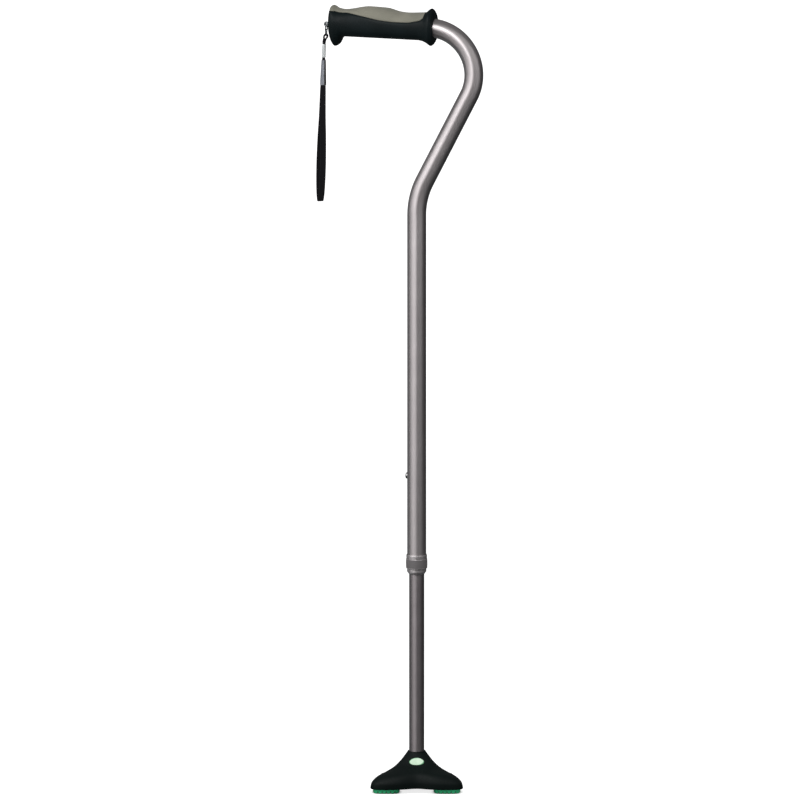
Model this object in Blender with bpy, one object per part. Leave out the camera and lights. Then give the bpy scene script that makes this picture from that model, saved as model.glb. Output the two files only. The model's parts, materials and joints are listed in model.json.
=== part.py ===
"""Offset quad cane: bent tube, padded grip, wrist strap, snap button, locking collar, four-footed base.

Metres, +Z up. The origin is on the floor at the axis of the straight tubes.
The free end of the grip points to -X and the bend of the tube to +X.
"""

import bisect
import math

import bmesh
import bpy
from mathutils import Vector

# Clearances
GAP = 0.0003
GUIDE_GAP = 0.0002
OVERCUT = 0.002

# Upper tube: level handle, top bend, leaning part, lower bend, straight part
TUBE_RADIUS = 0.0113
TUBE_WALL = 0.0012
HANDLE_HEIGHT = 0.9145
HANDLE_START = -0.0920
TOP_BEND_START = 0.0170
TOP_BEND_RADIUS = 0.0540
TUBE_LEAN = math.radians(27.5)
LOWER_BEND_RADIUS = 0.090
TUBE_SIDES = 28

# Height setting: holes of the upper tube and the snap button that fits them
HOLE_PITCH = 0.0254
HOLES_ABOVE = 8
HOLES_BELOW = 1
BUTTON_HEIGHT = 0.3750
BUTTON_RADIUS = 0.0038
BUTTON_REACH = 0.0138
BUTTON_DOME = 0.0014
BUTTON_SHANK_RADIUS = 0.0018
BUTTON_RIVET_RADIUS = 0.0030
BUTTON_RIVET_HEIGHT = 0.0008

# Lower tube and what is inside it
LOWER_RADIUS = 0.0090
LOWER_WALL = 0.0012
LOWER_TOP_RISE = 0.0320
PLUG_FLANGE = 0.0040
PLUG_DEPTH = 0.0140
PLUG_HOLE_RADIUS = 0.0030
SPRING_WIDTH = 0.0070
SPRING_THICKNESS = 0.0006
SPRING_TOP_RISE = 0.0080
SPRING_LEG_DROP = 0.0090
SPRING_BEND_DROP = 0.0400
SPRING_BEND_RADIUS = 0.0025

# Grip, as heights above and below the handle's axis and half widths at places along it
GRIP_TOP = ((-0.1066, 0.0150), (-0.1058, 0.0200), (-0.1036, 0.0212), (-0.0973, 0.0181), (-0.0900, 0.0170),
            (-0.0580, 0.0219), (-0.0370, 0.0213), (-0.0208, 0.0176), (-0.0120, 0.0168), (0.0040, 0.0177),
            (0.0116, 0.0184), (0.0183, 0.0230), (0.0217, 0.0190), (0.0231, 0.0105))
GRIP_BOTTOM = ((-0.1066, 0.0060), (-0.1060, 0.0132), (-0.1041, 0.0231), (-0.1006, 0.0275), (-0.0956, 0.0249),
               (-0.0926, 0.0187), (-0.0886, 0.0156), (0.0030, 0.0154), (0.0078, 0.0161), (0.0134, 0.0184),
               (0.0185, 0.0214), (0.0217, 0.0180), (0.0231, 0.0105))
GRIP_SIDE = ((-0.1066, 0.0110), (-0.1057, 0.0150), (-0.1036, 0.0172), (-0.1006, 0.0178), (-0.0950, 0.0166),
             (-0.0900, 0.0160), (-0.0500, 0.0162), (0.0040, 0.0160), (0.0116, 0.0165), (0.0183, 0.0180),
             (0.0217, 0.0160), (0.0231, 0.0105))
PAD_EDGE = ((-0.1080, 0.0167), (-0.0956, 0.0162), (-0.0807, 0.0149), (-0.0609, 0.0120), (-0.0410, 0.0086),
            (-0.0212, 0.0074), (-0.0080, 0.0076), (0.0020, 0.0094), (0.0076, 0.0108), (0.0116, 0.0141))
PAD_END = 0.0116
PAD_DEPTH = 0.0036
BED_SIDE_GAP = 0.0005
BED_END_INSET = math.radians(4)
PAD_EDGE_RATIO = 0.88
GRIP_ROUNDNESS = 0.90
GRIP_STATIONS = (-0.1066, -0.1063, -0.1058, -0.1048, -0.1032, -0.1008, -0.0982, -0.0957, -0.0937, -0.0920,
                 -0.0900, -0.0870, -0.0800, -0.0720, -0.0630, -0.0540, -0.0450, -0.0360, -0.0280, -0.0205,
                 -0.0130, -0.0060, 0.0010, 0.0070)
FLANGE_STATIONS = (0.0140, 0.0162, 0.0183, 0.0200, 0.0215, 0.0225, 0.0231)
GRIP_SIDES = 32
PAD_SIDES = 14

# Plug in the handle end of the tube, and the eye screwed into it
END_PLUG_FLANGE = 0.0015
END_PLUG_DEPTH = 0.0150
EYE_DROP = 0.0022
EYE_RING_RADIUS = 0.0024
EYE_WIRE_RADIUS = 0.00075
EYE_REACH = -0.1124
EYE_SHANK_RADIUS = 0.0014
EYE_SHANK_END = -0.0820

# Wrist strap, hung from the eye; drops are measured from the eye's centre
STRAP_LEAN = math.radians(1.45)
LINK_WIRE_RADIUS = 0.00055
LINK_LENGTH = 0.0072
LINK_HALF_WIDTH = 0.00175
LINK_TURN = math.radians(66)
CORD_RADIUS = 0.0008
CORD_LOOP_HALF_WIDTH = 0.0019
CORD_LEG_OFFSET = 0.0009
CORD_LOOP_WIDEST = 0.0030
CORD_PINCH_DROP = 0.0190
CORD_END_DROP = 0.0305
CORD_SLANT = 0.0023
CORD_SLANT_END = 0.0222
FERRULE_TOP = 0.0242
FERRULE_BOTTOM = 0.0402
FERRULE_WALL = 0.0004
SLEEVE_CORNER = 0.0004
FACE_TURN = math.radians(18)
LOOP_TURN = math.radians(38)
WEB_TOP = 0.0360
WEB_TUCK = 0.0730
WEB_TURNED = 0.1312
WEB_WIDEST = 0.1700
WEB_BOTTOM = 0.2130
WEB_THICKNESS = 0.0011
WEB_LAYER_GAP = 0.0003
WEB_BELLY = 0.0068
WEB_HALF_WIDTHS = ((0.0360, 0.0013), (0.0432, 0.0015), (0.0600, 0.0025), (0.0730, 0.0029), (0.0850, 0.0033),
                   (0.1000, 0.0034), (0.2130, 0.0034))
TAPE_TOP = 0.0432
TAPE_BOTTOM = 0.0732
TAPE_WALL = 0.0004

# Locking collar, heights from its lower end
COLLAR_BOTTOM = 0.2575
COLLAR_STEP = 0.0024
NUT_HEIGHT = 0.0186
NUT_BARREL_FOOT = 0.0070
NUT_BARREL_RADIUS = 0.01255
NUT_BARREL_BULGE = 0.00025
NUT_BARREL_ROLL = 0.0005
NUT_SKIRT_RADIUS = 0.0115
NUT_SKIRT_ROLL = 0.0008
NUT_SKIRT_FOOT = 0.0019
NUT_LIP_RADIUS = 0.0098
SLEEVE_TOP = 0.0234
SLEEVE_RADIUS = 0.01235
SLEEVE_ROLL = 0.0014
SLEEVE_TOP_RADIUS = 0.0119
SLEEVE_SPIGOT = 0.0120
THREAD_RADIUS = 0.0109
THREAD_FOOT = 0.0090
CONE_TOP_RADIUS = 0.0107
CONE_BOTTOM_RADIUS = 0.0100
NUT_FLOOR = 0.0022
RING_SLIT = 0.0012
COLLAR_SIDES = 28
NUT_SIDES = 48

# Foot: plan, slope and what is let into it
FOOT_TURN = math.radians(18)
NECK_RADIUS = 0.0108
NECK_ROLL = 0.0006
RIM_HEIGHT = 0.0439
SOCKET_FLOOR = 0.0100
SHELL_EDGE = 0.0047
SHELL_ARCH = 0.0006
SHELL_WALL = 0.0032
FOOT_HALF_WIDTH = 0.0501
FOOT_FRONT_WIDENING = 0.0111
FOOT_HALF_DEPTH = 0.0440
FOOT_FRONT_LENGTHENING = 0.0040
FOOT_SQUARENESS = 8.0
FOOT_WAIST = 0.0060
SHELL_SLOPE = ((0.0, 1.0), (0.04, 0.942), (0.12, 0.848), (0.20, 0.748), (0.30, 0.626), (0.42, 0.503),
               (0.54, 0.409), (0.66, 0.332), (0.76, 0.284), (0.85, 0.239), (0.92, 0.192), (0.97, 0.138),
               (0.99, 0.068), (1.0, 0.0))
SHELL_TILT = 0.0061
SHELL_TILT_SKEW = 1.92
FOOT_SIDES = 52
BOSS_RADIUS = 0.0135
BOSS_FOOT = 0.0065
BOSS_CEILING_DROP = 0.0128
HOLLOW_CEILING_DROP = 0.0042
HOLLOW_LEAST_DEPTH = 0.0010
POCKET_WALL = 0.0018
WASHER_THICKNESS = 0.0012
WASHER_HOLE_RADIUS = 0.0030
PAD_PLACE = (0.0360, 0.0308)
BACK_PAD_PLACE = (0.0245, 0.0240)
TREAD_SIZE = (0.0318, 0.0270)
TREAD_CORNER = 0.0088
TREAD_HEIGHT = 0.0068
TREAD_BEVEL = 0.0008
GROOVE_DEPTH = 0.0026
GROOVE_WIDTH = 0.0013
GROOVE_PITCH = 0.0050
LUG_ROW_PITCH = 0.0064
LUG_ROWS = 4
BADGE_HALF_WIDTH = 0.0077
BADGE_HALF_HEIGHT = 0.0051
BADGE_SLOPE = 0.236
BADGE_THICKNESS = 0.0009
BADGE_SIDES = 24


def linear(level):
    """Light level of one 0-255 screen colour value."""
    part = level / 255
    return part / 12.92 if part <= 0.04045 else ((part + 0.055) / 1.055) ** 2.4


def make_material(name, colour, roughness, metallic=0.0):
    """Plain shader material from a screen colour."""
    material = bpy.data.materials.new(name)
    material.use_nodes = True
    shader = material.node_tree.nodes["Principled BSDF"]
    shader.inputs["Base Color"].default_value = (*(linear(level) for level in colour), 1.0)
    shader.inputs["Roughness"].default_value = roughness
    shader.inputs["Metallic"].default_value = metallic
    return material


def smooth_value(points, place):
    """Value at a place on a smooth curve through (place, value) points, without overshoot."""
    places = [point[0] for point in points]
    values = [point[1] for point in points]
    if place <= places[0]:
        return values[0]
    if place >= places[-1]:
        return values[-1]
    steps = [b - a for a, b in zip(places, places[1:])]
    slopes = [(b - a) / step for a, b, step in zip(values, values[1:], steps)]
    tangents = [slopes[0]]
    for before, after in zip(slopes, slopes[1:]):
        tangents.append(2 * before * after / (before + after) if before * after > 0 else 0.0)
    tangents.append(slopes[-1])
    first = bisect.bisect_right(places, place) - 1
    step = steps[first]
    part = (place - places[first]) / step
    start_weight = (1 + 2 * part) * (1 - part) ** 2
    end_weight = part * part * (3 - 2 * part)
    bend = part * (1 - part) * step * ((1 - part) * tangents[first] - part * tangents[first + 1])
    return start_weight * values[first] + end_weight * values[first + 1] + bend


def skin(rings, loop=False):
    """Closed body whose surface joins each ring of points to the next."""
    body = bmesh.new()
    rows = [[body.verts.new(point) for point in ring] for ring in rings]
    pairs = list(zip(rows, rows[1:]))
    if loop:
        pairs.append((rows[-1], rows[0]))
    else:
        body.faces.new(rows[0])
        body.faces.new(rows[-1])
    for row, following in pairs:
        for index in range(len(row)):
            after = (index + 1) % len(row)
            body.faces.new((row[index], row[after], following[after], following[index]))
    return body


def turned(outline, sides):
    """Body turned round Z from an outline of (radius, height) points, closed or ending on the axis."""
    rings = []
    for side in range(sides):
        turn = 2 * math.pi * side / sides
        rings.append([(radius * math.cos(turn), radius * math.sin(turn), height) for radius, height in outline])
    return skin(rings, loop=True)


def add_body(name, body, material=None, crease=math.radians(32)):
    """Scene object from a body, with welded points and outward faces."""
    bmesh.ops.remove_doubles(body, verts=body.verts, dist=1e-7)
    bmesh.ops.recalc_face_normals(body, faces=body.faces)
    mesh = bpy.data.meshes.new(name)
    body.to_mesh(mesh)
    body.free()
    mesh.shade_smooth()
    mesh.set_sharp_from_angle(angle=crease)
    thing = bpy.data.objects.new(name, mesh)
    bpy.context.scene.collection.objects.link(thing)
    if material is not None:
        mesh.materials.append(material)
    return thing


def cut(thing, cutter):
    """Subtract a cutter, which is hidden from the finished part."""
    cutter.hide_render = True
    cutter.display_type = "WIRE"
    difference = thing.modifiers.new("cut " + cutter.name, "BOOLEAN")
    difference.operation = "DIFFERENCE"
    difference.solver = "EXACT"
    difference.object = cutter


def rod(start, end, radius, sides):
    """Round rod from one point to another."""
    start = Vector(start)
    end = Vector(end)
    along = (end - start).normalized()
    across = along.orthogonal().normalized()
    other = along.cross(across)
    rings = []
    for middle in (start, end):
        ring = []
        for side in range(sides):
            turn = 2 * math.pi * side / sides
            ring.append(middle + radius * (math.cos(turn) * across + math.sin(turn) * other))
        rings.append(ring)
    return skin(rings)


def merged(bodies):
    """One body from several that stand clear of each other."""
    whole = bmesh.new()
    for body in bodies:
        mesh = bpy.data.meshes.new("loose")
        body.to_mesh(mesh)
        body.free()
        whole.from_mesh(mesh)
        bpy.data.meshes.remove(mesh)
    return whole


def tube_path():
    """Points and directions along the axis of the upper tube, from the grip down to the collar."""
    path = [(Vector((HANDLE_START, 0, HANDLE_HEIGHT)), Vector((1, 0, 0)))]
    centre = Vector((TOP_BEND_START, 0, HANDLE_HEIGHT - TOP_BEND_RADIUS))
    steps = 12
    for step in range(steps + 1):
        turn = math.pi / 2 - (math.pi / 2 + TUBE_LEAN) * step / steps
        outward = Vector((math.cos(turn), 0, math.sin(turn)))
        path.append((centre + TOP_BEND_RADIUS * outward, Vector((outward.z, 0, -outward.x))))
    lean_start = path[-1][0]
    lower_x = LOWER_BEND_RADIUS * (1 - math.cos(TUBE_LEAN))
    run = (lean_start.x - lower_x) / math.sin(TUBE_LEAN)
    lower_end = lean_start.z - run * math.cos(TUBE_LEAN) - LOWER_BEND_RADIUS * math.sin(TUBE_LEAN)
    steps = 5
    for step in range(steps + 1):
        turn = TUBE_LEAN * (1 - step / steps)
        place = Vector((LOWER_BEND_RADIUS * (1 - math.cos(turn)), 0, lower_end + LOWER_BEND_RADIUS * math.sin(turn)))
        path.append((place, Vector((-math.sin(turn), 0, -math.cos(turn)))))
    path.append((Vector((0, 0, COLLAR_BOTTOM + NUT_HEIGHT + COLLAR_STEP - GAP)), Vector((0, 0, -1))))
    return path


def rings_along(path, radius):
    """Rings of a round sweep along a path that lies in the X-Z plane."""
    rings = []
    for place, along in path:
        across = Vector((along.z, 0, -along.x))
        ring = []
        for side in range(TUBE_SIDES):
            turn = 2 * math.pi * side / TUBE_SIDES
            ring.append(place + radius * (math.cos(turn) * across + math.sin(turn) * Vector((0, 1, 0))))
        rings.append(ring)
    return rings


def pipe(path, radius, wall):
    """Hollow sweep with flat ends."""
    return skin(rings_along(path, radius) + rings_along(path, radius - wall)[::-1], loop=True)


def make_upper_tube(metal):
    """Bent tube with its row of holes on the -X side."""
    tube = add_body("upper_tube", pipe(tube_path(), TUBE_RADIUS, TUBE_WALL), metal)
    holes = []
    for number in range(-HOLES_BELOW, HOLES_ABOVE + 1):
        height = BUTTON_HEIGHT + number * HOLE_PITCH
        holes.append(rod((-TUBE_RADIUS - OVERCUT, 0, height), (0, 0, height), BUTTON_RADIUS + GAP, 16))
    cut(tube, add_body("hole_cutters", merged(holes)))
    return tube


def lower_top():
    """Height of the lower tube's upper end, above the spring that it holds."""
    return BUTTON_HEIGHT + LOWER_TOP_RISE


def make_lower_tube(metal):
    """Straight tube that slides in the upper tube, with one hole for the button."""
    ends = (SOCKET_FLOOR + WASHER_THICKNESS + 2 * GAP, lower_top())
    path = [(Vector((0, 0, height)), Vector((0, 0, -1))) for height in ends]
    tube = add_body("lower_tube", pipe(path, LOWER_RADIUS, LOWER_WALL), metal)
    hole = rod((-LOWER_RADIUS - OVERCUT, 0, BUTTON_HEIGHT), (0, 0, BUTTON_HEIGHT), BUTTON_RADIUS + GAP, 16)
    cut(tube, add_body("button_hole_cutter", hole))
    return tube


def make_guide_plug(plastic):
    """Plug in the top of the lower tube, whose flange keeps it central in the upper tube."""
    inner = LOWER_RADIUS - LOWER_WALL - GUIDE_GAP
    flange = TUBE_RADIUS - TUBE_WALL - GUIDE_GAP
    base = lower_top() + GAP
    outline = ((PLUG_HOLE_RADIUS, base - PLUG_DEPTH), (inner, base - PLUG_DEPTH), (inner, base), (flange, base),
               (flange, base + PLUG_FLANGE), (PLUG_HOLE_RADIUS, base + PLUG_FLANGE))
    return add_body("guide_plug", turned(outline, TUBE_SIDES), plastic)


def spring_face():
    """Distance of the spring leg's outer face from the axis, clear of the round wall at its edges."""
    wall = LOWER_RADIUS - LOWER_WALL
    return math.sqrt(wall * wall - (SPRING_WIDTH / 2) ** 2) - GAP


def make_snap_spring(steel):
    """Leaf spring bent to a V inside the lower tube, with a hole for the button's shank."""
    leg = spring_face() - SPRING_THICKNESS / 2
    side = [(leg, BUTTON_HEIGHT + SPRING_TOP_RISE), (leg, BUTTON_HEIGHT - SPRING_LEG_DROP)]
    low = BUTTON_HEIGHT - SPRING_BEND_DROP
    for step in range(4):
        turn = math.radians(10 + 80 * step / 3)
        side.append((SPRING_BEND_RADIUS * math.cos(turn), low + SPRING_BEND_RADIUS * (1 - math.sin(turn))))
    middle = [(-x, z) for x, z in side] + [(x, z) for x, z in side[-2::-1]]
    rings = []
    for index, (x, z) in enumerate(middle):
        before = Vector(middle[max(index - 1, 0)])
        after = Vector(middle[min(index + 1, len(middle) - 1)])
        along = (after - before).normalized()
        across = Vector((along.y, 0, -along.x)) * SPRING_THICKNESS / 2
        edge = Vector((0, SPRING_WIDTH / 2, 0))
        place = Vector((x, 0, z))
        rings.append([place - across - edge, place + across - edge, place + across + edge, place - across + edge])
    spring = add_body("snap_spring", skin(rings), steel)
    hole = rod((-leg - OVERCUT, 0, BUTTON_HEIGHT), (-leg + OVERCUT, 0, BUTTON_HEIGHT), BUTTON_SHANK_RADIUS + GAP, 12)
    cut(spring, add_body("rivet_hole_cutter", hole))
    return spring


def make_snap_button(chrome):
    """Domed button whose shank is riveted through the spring's leg."""
    leaf = spring_face()
    shoulder = leaf + GAP
    rivet = leaf - SPRING_THICKNESS - GAP
    dome_start = BUTTON_REACH - BUTTON_DOME
    outline = [(0, rivet - BUTTON_RIVET_HEIGHT), (BUTTON_RIVET_RADIUS, rivet - BUTTON_RIVET_HEIGHT),
               (BUTTON_RIVET_RADIUS, rivet), (BUTTON_SHANK_RADIUS, rivet), (BUTTON_SHANK_RADIUS, shoulder),
               (BUTTON_RADIUS, shoulder)]
    for step in range(5):
        turn = math.pi / 2 * step / 4
        outline.append((BUTTON_RADIUS * math.cos(turn), dome_start + BUTTON_DOME * math.sin(turn)))
    body = turned(outline, 20)
    for vertex in body.verts:
        radial_x, radial_y, reach = vertex.co
        vertex.co = (-reach, radial_x, BUTTON_HEIGHT + radial_y)
    return add_body("snap_button", body, chrome)


def power(value, exponent):
    """Power that keeps the sign of the value."""
    return math.copysign(abs(value) ** exponent, value)


def grip_point(x, turn, depth=0.0):
    """Point of the grip's surface at a station, or of a surface a depth inside it."""
    top = smooth_value(GRIP_TOP, x) - depth
    bottom = smooth_value(GRIP_BOTTOM, x) - depth
    side = smooth_value(GRIP_SIDE, x) - depth
    height = top if math.sin(turn) > 0 else bottom
    return (x, side * power(math.cos(turn), GRIP_ROUNDNESS),
            HANDLE_HEIGHT + height * power(math.sin(turn), GRIP_ROUNDNESS))


def spread(first, last, count):
    """Evenly spaced values from first to last."""
    return [first + (last - first) * index / (count - 1) for index in range(count)]


def pad_edge_turn(x):
    """Angle round the grip at which the pad's edge lies."""
    share = smooth_value(PAD_EDGE, x) / smooth_value(GRIP_TOP, x)
    return math.asin(min(share, PAD_EDGE_RATIO) ** (1 / GRIP_ROUNDNESS))


def grip_ring(x, bed):
    """Section of the grip's body; in its bed the top is stepped in for the pad."""
    edge = pad_edge_turn(x) - BED_SIDE_GAP / smooth_value(GRIP_SIDE, x)
    ring = [grip_point(x, turn) for turn in spread(edge, -math.pi - edge, GRIP_SIDES - PAD_SIDES)]
    if bed:
        return ring + [grip_point(x, turn, PAD_DEPTH + GAP) for turn in spread(math.pi - edge, edge, PAD_SIDES)]
    top = spread(math.pi - edge - BED_END_INSET, edge + BED_END_INSET, PAD_SIDES)
    return ring + [grip_point(x, turn) for turn in top]


def make_grip_body(rubber):
    """Black grip with flanged ends, a bed for the pad and a bore for the tube."""
    rings = [grip_ring(x, True) for x in (*GRIP_STATIONS, PAD_END)]
    rings += [grip_ring(x, False) for x in (PAD_END, *FLANGE_STATIONS)]
    grip = add_body("grip_body", skin(rings), rubber)
    path = tube_path()
    bore_start = Vector((HANDLE_START - END_PLUG_FLANGE - 2 * GAP, 0, HANDLE_HEIGHT))
    bore = rings_along([(bore_start, path[0][1]), *path[1:3]], TUBE_RADIUS + GUIDE_GAP)
    cut(grip, add_body("grip_bore_cutter", skin(bore)))
    eye_height = HANDLE_HEIGHT - EYE_DROP
    hole = rod((EYE_REACH, 0, eye_height), (HANDLE_START, 0, eye_height), EYE_SHANK_RADIUS + GAP, 12)
    cut(grip, add_body("eye_hole_cutter", hole))
    return grip


def make_grip_pad(cushion):
    """Soft cushion let into the top of the grip."""
    rings = []
    for x in (*GRIP_STATIONS, PAD_END - GAP):
        edge = pad_edge_turn(x)
        ring = [grip_point(x, turn) for turn in spread(edge, math.pi - edge, PAD_SIDES)]
        rings.append(ring + [grip_point(x, turn, PAD_DEPTH) for turn in spread(math.pi - edge, edge, PAD_SIDES)])
    return add_body("grip_pad", skin(rings), cushion)


def make_tube_end_plug(plastic):
    """Plug in the handle end of the tube, drilled for the eye's shank."""
    inner = TUBE_RADIUS - TUBE_WALL - GUIDE_GAP
    face = HANDLE_START - GAP
    outline = ((0, face - END_PLUG_FLANGE), (TUBE_RADIUS, face - END_PLUG_FLANGE), (TUBE_RADIUS, face), (inner, face),
               (inner, face + END_PLUG_DEPTH), (0, face + END_PLUG_DEPTH))
    body = turned(outline, TUBE_SIDES)
    for vertex in body.verts:
        radial_x, radial_y, along = vertex.co
        vertex.co = (along, radial_x, HANDLE_HEIGHT + radial_y)
    plug = add_body("tube_end_plug", body, plastic)
    height = HANDLE_HEIGHT - EYE_DROP
    start = (face - END_PLUG_FLANGE - OVERCUT, 0, height)
    hole = rod(start, (EYE_SHANK_END + GAP, 0, height), EYE_SHANK_RADIUS + GAP, 12)
    cut(plug, add_body("plug_hole_cutter", hole))
    return plug


def eye_centre():
    """Middle of the eye's ring, from which the strap hangs."""
    return Vector((EYE_REACH, 0, HANDLE_HEIGHT - EYE_DROP))


def wire_loop(middles, radius, sides):
    """Round wire along a closed line of points that lies in one upright plane."""
    rings = []
    count = len(middles)
    flat = (middles[count // 3] - middles[0]).cross(middles[2 * count // 3] - middles[0]).normalized()
    for index, place in enumerate(middles):
        along = (middles[(index + 1) % count] - middles[index - 1]).normalized()
        across = along.cross(flat)
        ring = []
        for side in range(sides):
            turn = 2 * math.pi * side / sides
            ring.append(place + radius * (math.cos(turn) * across + math.sin(turn) * flat))
        rings.append(ring)
    return skin(rings, loop=True)


def make_strap_eye(steel):
    """Eye screw in the end of the grip: a ring on a shank."""
    centre = eye_centre()
    middles = []
    for side in range(20):
        turn = 2 * math.pi * side / 20
        middles.append(centre + EYE_RING_RADIUS * Vector((math.cos(turn), 0, math.sin(turn))))
    eye = add_body("strap_eye", wire_loop(middles, EYE_WIRE_RADIUS, 10), steel)
    root = (EYE_REACH + EYE_RING_RADIUS, 0, centre.z)
    shank = add_body("eye_shank", rod(root, (EYE_SHANK_END, 0, centre.z), EYE_SHANK_RADIUS, 12))
    shank.hide_render = True
    shank.display_type = "WIRE"
    union = eye.modifiers.new("shank", "BOOLEAN")
    union.operation = "UNION"
    union.solver = "EXACT"
    union.object = shank
    return eye


def hung(drop, sideways, turn, forward=0.0):
    """Point of the strap: drop below the eye, then sideways and forward in a frame turned about the strap."""
    x = sideways * math.cos(turn) + forward * math.sin(turn) - cord_slant(drop)
    y = sideways * math.sin(turn) - forward * math.cos(turn)
    lean_x = x * math.cos(STRAP_LEAN) - drop * math.sin(STRAP_LEAN)
    lean_z = -drop * math.cos(STRAP_LEAN) - x * math.sin(STRAP_LEAN)
    return eye_centre() + Vector((lean_x, y, lean_z))


def link_drops():
    """Drops of the upper ends of the two links and of the cord's loop."""
    first = EYE_RING_RADIUS - EYE_WIRE_RADIUS - GAP - LINK_WIRE_RADIUS
    second = first + LINK_LENGTH - 2 * LINK_WIRE_RADIUS - GAP
    cord = second + LINK_LENGTH - LINK_WIRE_RADIUS - CORD_RADIUS - GAP
    return first, second, cord


def cord_slant(drop):
    """How far the slanting cord has carried the strap outward at a drop."""
    top = link_drops()[2]
    part = min(max((drop - top) / (CORD_SLANT_END - top), 0.0), 1.0)
    return CORD_SLANT * part * part * (3 - 2 * part)


def make_link(name, top, turn, steel):
    """Chain link: a wire oval that hangs from its upper end."""
    middles = []
    ends = ((top + LINK_HALF_WIDTH, 0.0), (top + LINK_LENGTH - LINK_HALF_WIDTH, math.pi))
    for drop, start in ends:
        for step in range(9):
            angle = start + math.pi * step / 8
            sideways = LINK_HALF_WIDTH * math.cos(angle)
            middles.append(hung(drop - LINK_HALF_WIDTH * math.sin(angle), sideways, turn))
    return add_body(name, wire_loop(middles, LINK_WIRE_RADIUS, 8), steel)


def make_strap_cord(black_cord):
    """Thin cord loop through the lower link, both legs running down into the ferrule."""
    top = link_drops()[2]
    side = []
    for step in range(6):
        angle = math.pi / 2 * step / 5
        side.append((top + CORD_LOOP_WIDEST * (1 - math.cos(angle)), CORD_LOOP_HALF_WIDTH * math.sin(angle)))
    start = side[-1][0]
    for step in range(1, 7):
        part = step / 6
        blend = part * part * (3 - 2 * part)
        width = CORD_LOOP_HALF_WIDTH + (CORD_LEG_OFFSET - CORD_LOOP_HALF_WIDTH) * blend
        side.append((start + (CORD_PINCH_DROP - start) * part, width))
    for step in range(1, 5):
        angle = math.pi / 2 * step / 4
        low = CORD_END_DROP - CORD_LEG_OFFSET
        side.append((low + CORD_LEG_OFFSET * math.sin(angle), CORD_LEG_OFFSET * math.cos(angle)))
    middles = [hung(drop, width, FACE_TURN) for drop, width in side]
    middles += [hung(drop, -width, FACE_TURN) for drop, width in side[-2:0:-1]]
    return add_body("strap_cord", wire_loop(middles, CORD_RADIUS, 8), black_cord)


def flat_sleeve(sections, wall):
    """Open-ended flat sleeve through sections of (drop, half width, half depth), measured inside."""
    rings = []
    for extra in (0.0, wall):
        skins = []
        for drop, half_width, half_depth in sections:
            ring = []
            for quarter, (sx, sy) in enumerate(((1, 1), (-1, 1), (-1, -1), (1, -1))):
                for step in range(4):
                    angle = math.pi / 2 * (quarter + step / 3)
                    sideways = sx * (half_width - SLEEVE_CORNER) + (SLEEVE_CORNER + extra) * math.cos(angle)
                    forward = sy * (half_depth - SLEEVE_CORNER) + (SLEEVE_CORNER + extra) * math.sin(angle)
                    ring.append(hung(drop, sideways, FACE_TURN, forward))
            skins.append(ring)
        rings += skins if extra else skins[::-1]
    return skin(rings, loop=True)


def web_half_depth():
    """Half the thickness of the two layers of webbing where they lie together."""
    return WEB_LAYER_GAP / 2 + WEB_THICKNESS


def make_strap_ferrule(steel):
    """Crimped metal sleeve that joins the cord to the webbing."""
    half_width = CORD_LEG_OFFSET + CORD_RADIUS + GUIDE_GAP
    half_depth = web_half_depth() + GUIDE_GAP
    sections = [(drop, half_width, half_depth) for drop in (FERRULE_TOP, FERRULE_BOTTOM)]
    return add_body("strap_ferrule", flat_sleeve(sections, FERRULE_WALL), steel)


def make_reflective_tape(tape):
    """Reflective tape sewn round the narrow end of the webbing."""
    sections = []
    for drop in spread(TAPE_TOP, TAPE_BOTTOM, 5):
        half_width = smooth_value(WEB_HALF_WIDTHS, drop) + GUIDE_GAP
        sections.append((drop, half_width, web_half_depth() + GUIDE_GAP))
    return add_body("reflective_tape", flat_sleeve(sections, TAPE_WALL), tape)


def web_route():
    """Half of the webbing's middle line, as (drop, distance from the strap's middle)."""
    tight = web_half_depth() - WEB_THICKNESS / 2
    side = []
    for step in range(4):
        angle = math.pi / 2 * step / 3
        side.append((WEB_TOP + tight * (1 - math.cos(angle)), tight * math.sin(angle)))
    side += [(drop, tight) for drop in spread(TAPE_TOP, WEB_TUCK, 4)]
    for part in spread(0.0, 1.0, 11)[1:-1]:
        blend = part * part * (3 - 2 * part)
        side.append((WEB_TUCK + (WEB_WIDEST - WEB_TUCK) * part, tight + (WEB_BELLY - tight) * blend))
    for step in range(11):
        angle = math.pi / 2 * step / 10
        side.append((WEB_WIDEST + (WEB_BOTTOM - WEB_WIDEST) * math.sin(angle), WEB_BELLY * math.cos(angle)))
    return side


def make_wrist_strap(webbing):
    """Wrist loop of flat webbing: one closed band, narrow where it enters the ferrule."""
    side = web_route()
    route = side + [(drop, -apart) for drop, apart in side[-2:0:-1]]
    count = len(route)
    rings = []
    for index, (drop, apart) in enumerate(route):
        before = Vector(route[index - 1])
        after = Vector(route[(index + 1) % count])
        along = (after - before).normalized()
        opened = smooth_value(((WEB_TUCK, 0.0), (WEB_TURNED, 1.0)), drop)
        turn = FACE_TURN + (LOOP_TURN - FACE_TURN) * opened
        half_width = smooth_value(WEB_HALF_WIDTHS, drop)
        half = WEB_THICKNESS / 2
        edge = 0.5 * half
        ring = []
        for across, out in ((-half_width, -edge), (-half_width, edge), (-half_width + edge, half),
                            (half_width - edge, half), (half_width, edge), (half_width, -edge),
                            (half_width - edge, -half), (-half_width + edge, -half)):
            ring.append(hung(drop - out * along.y, across, turn, apart + out * along.x))
        rings.append(ring)
    return add_body("wrist_strap", skin(rings, loop=True), webbing)


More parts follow.
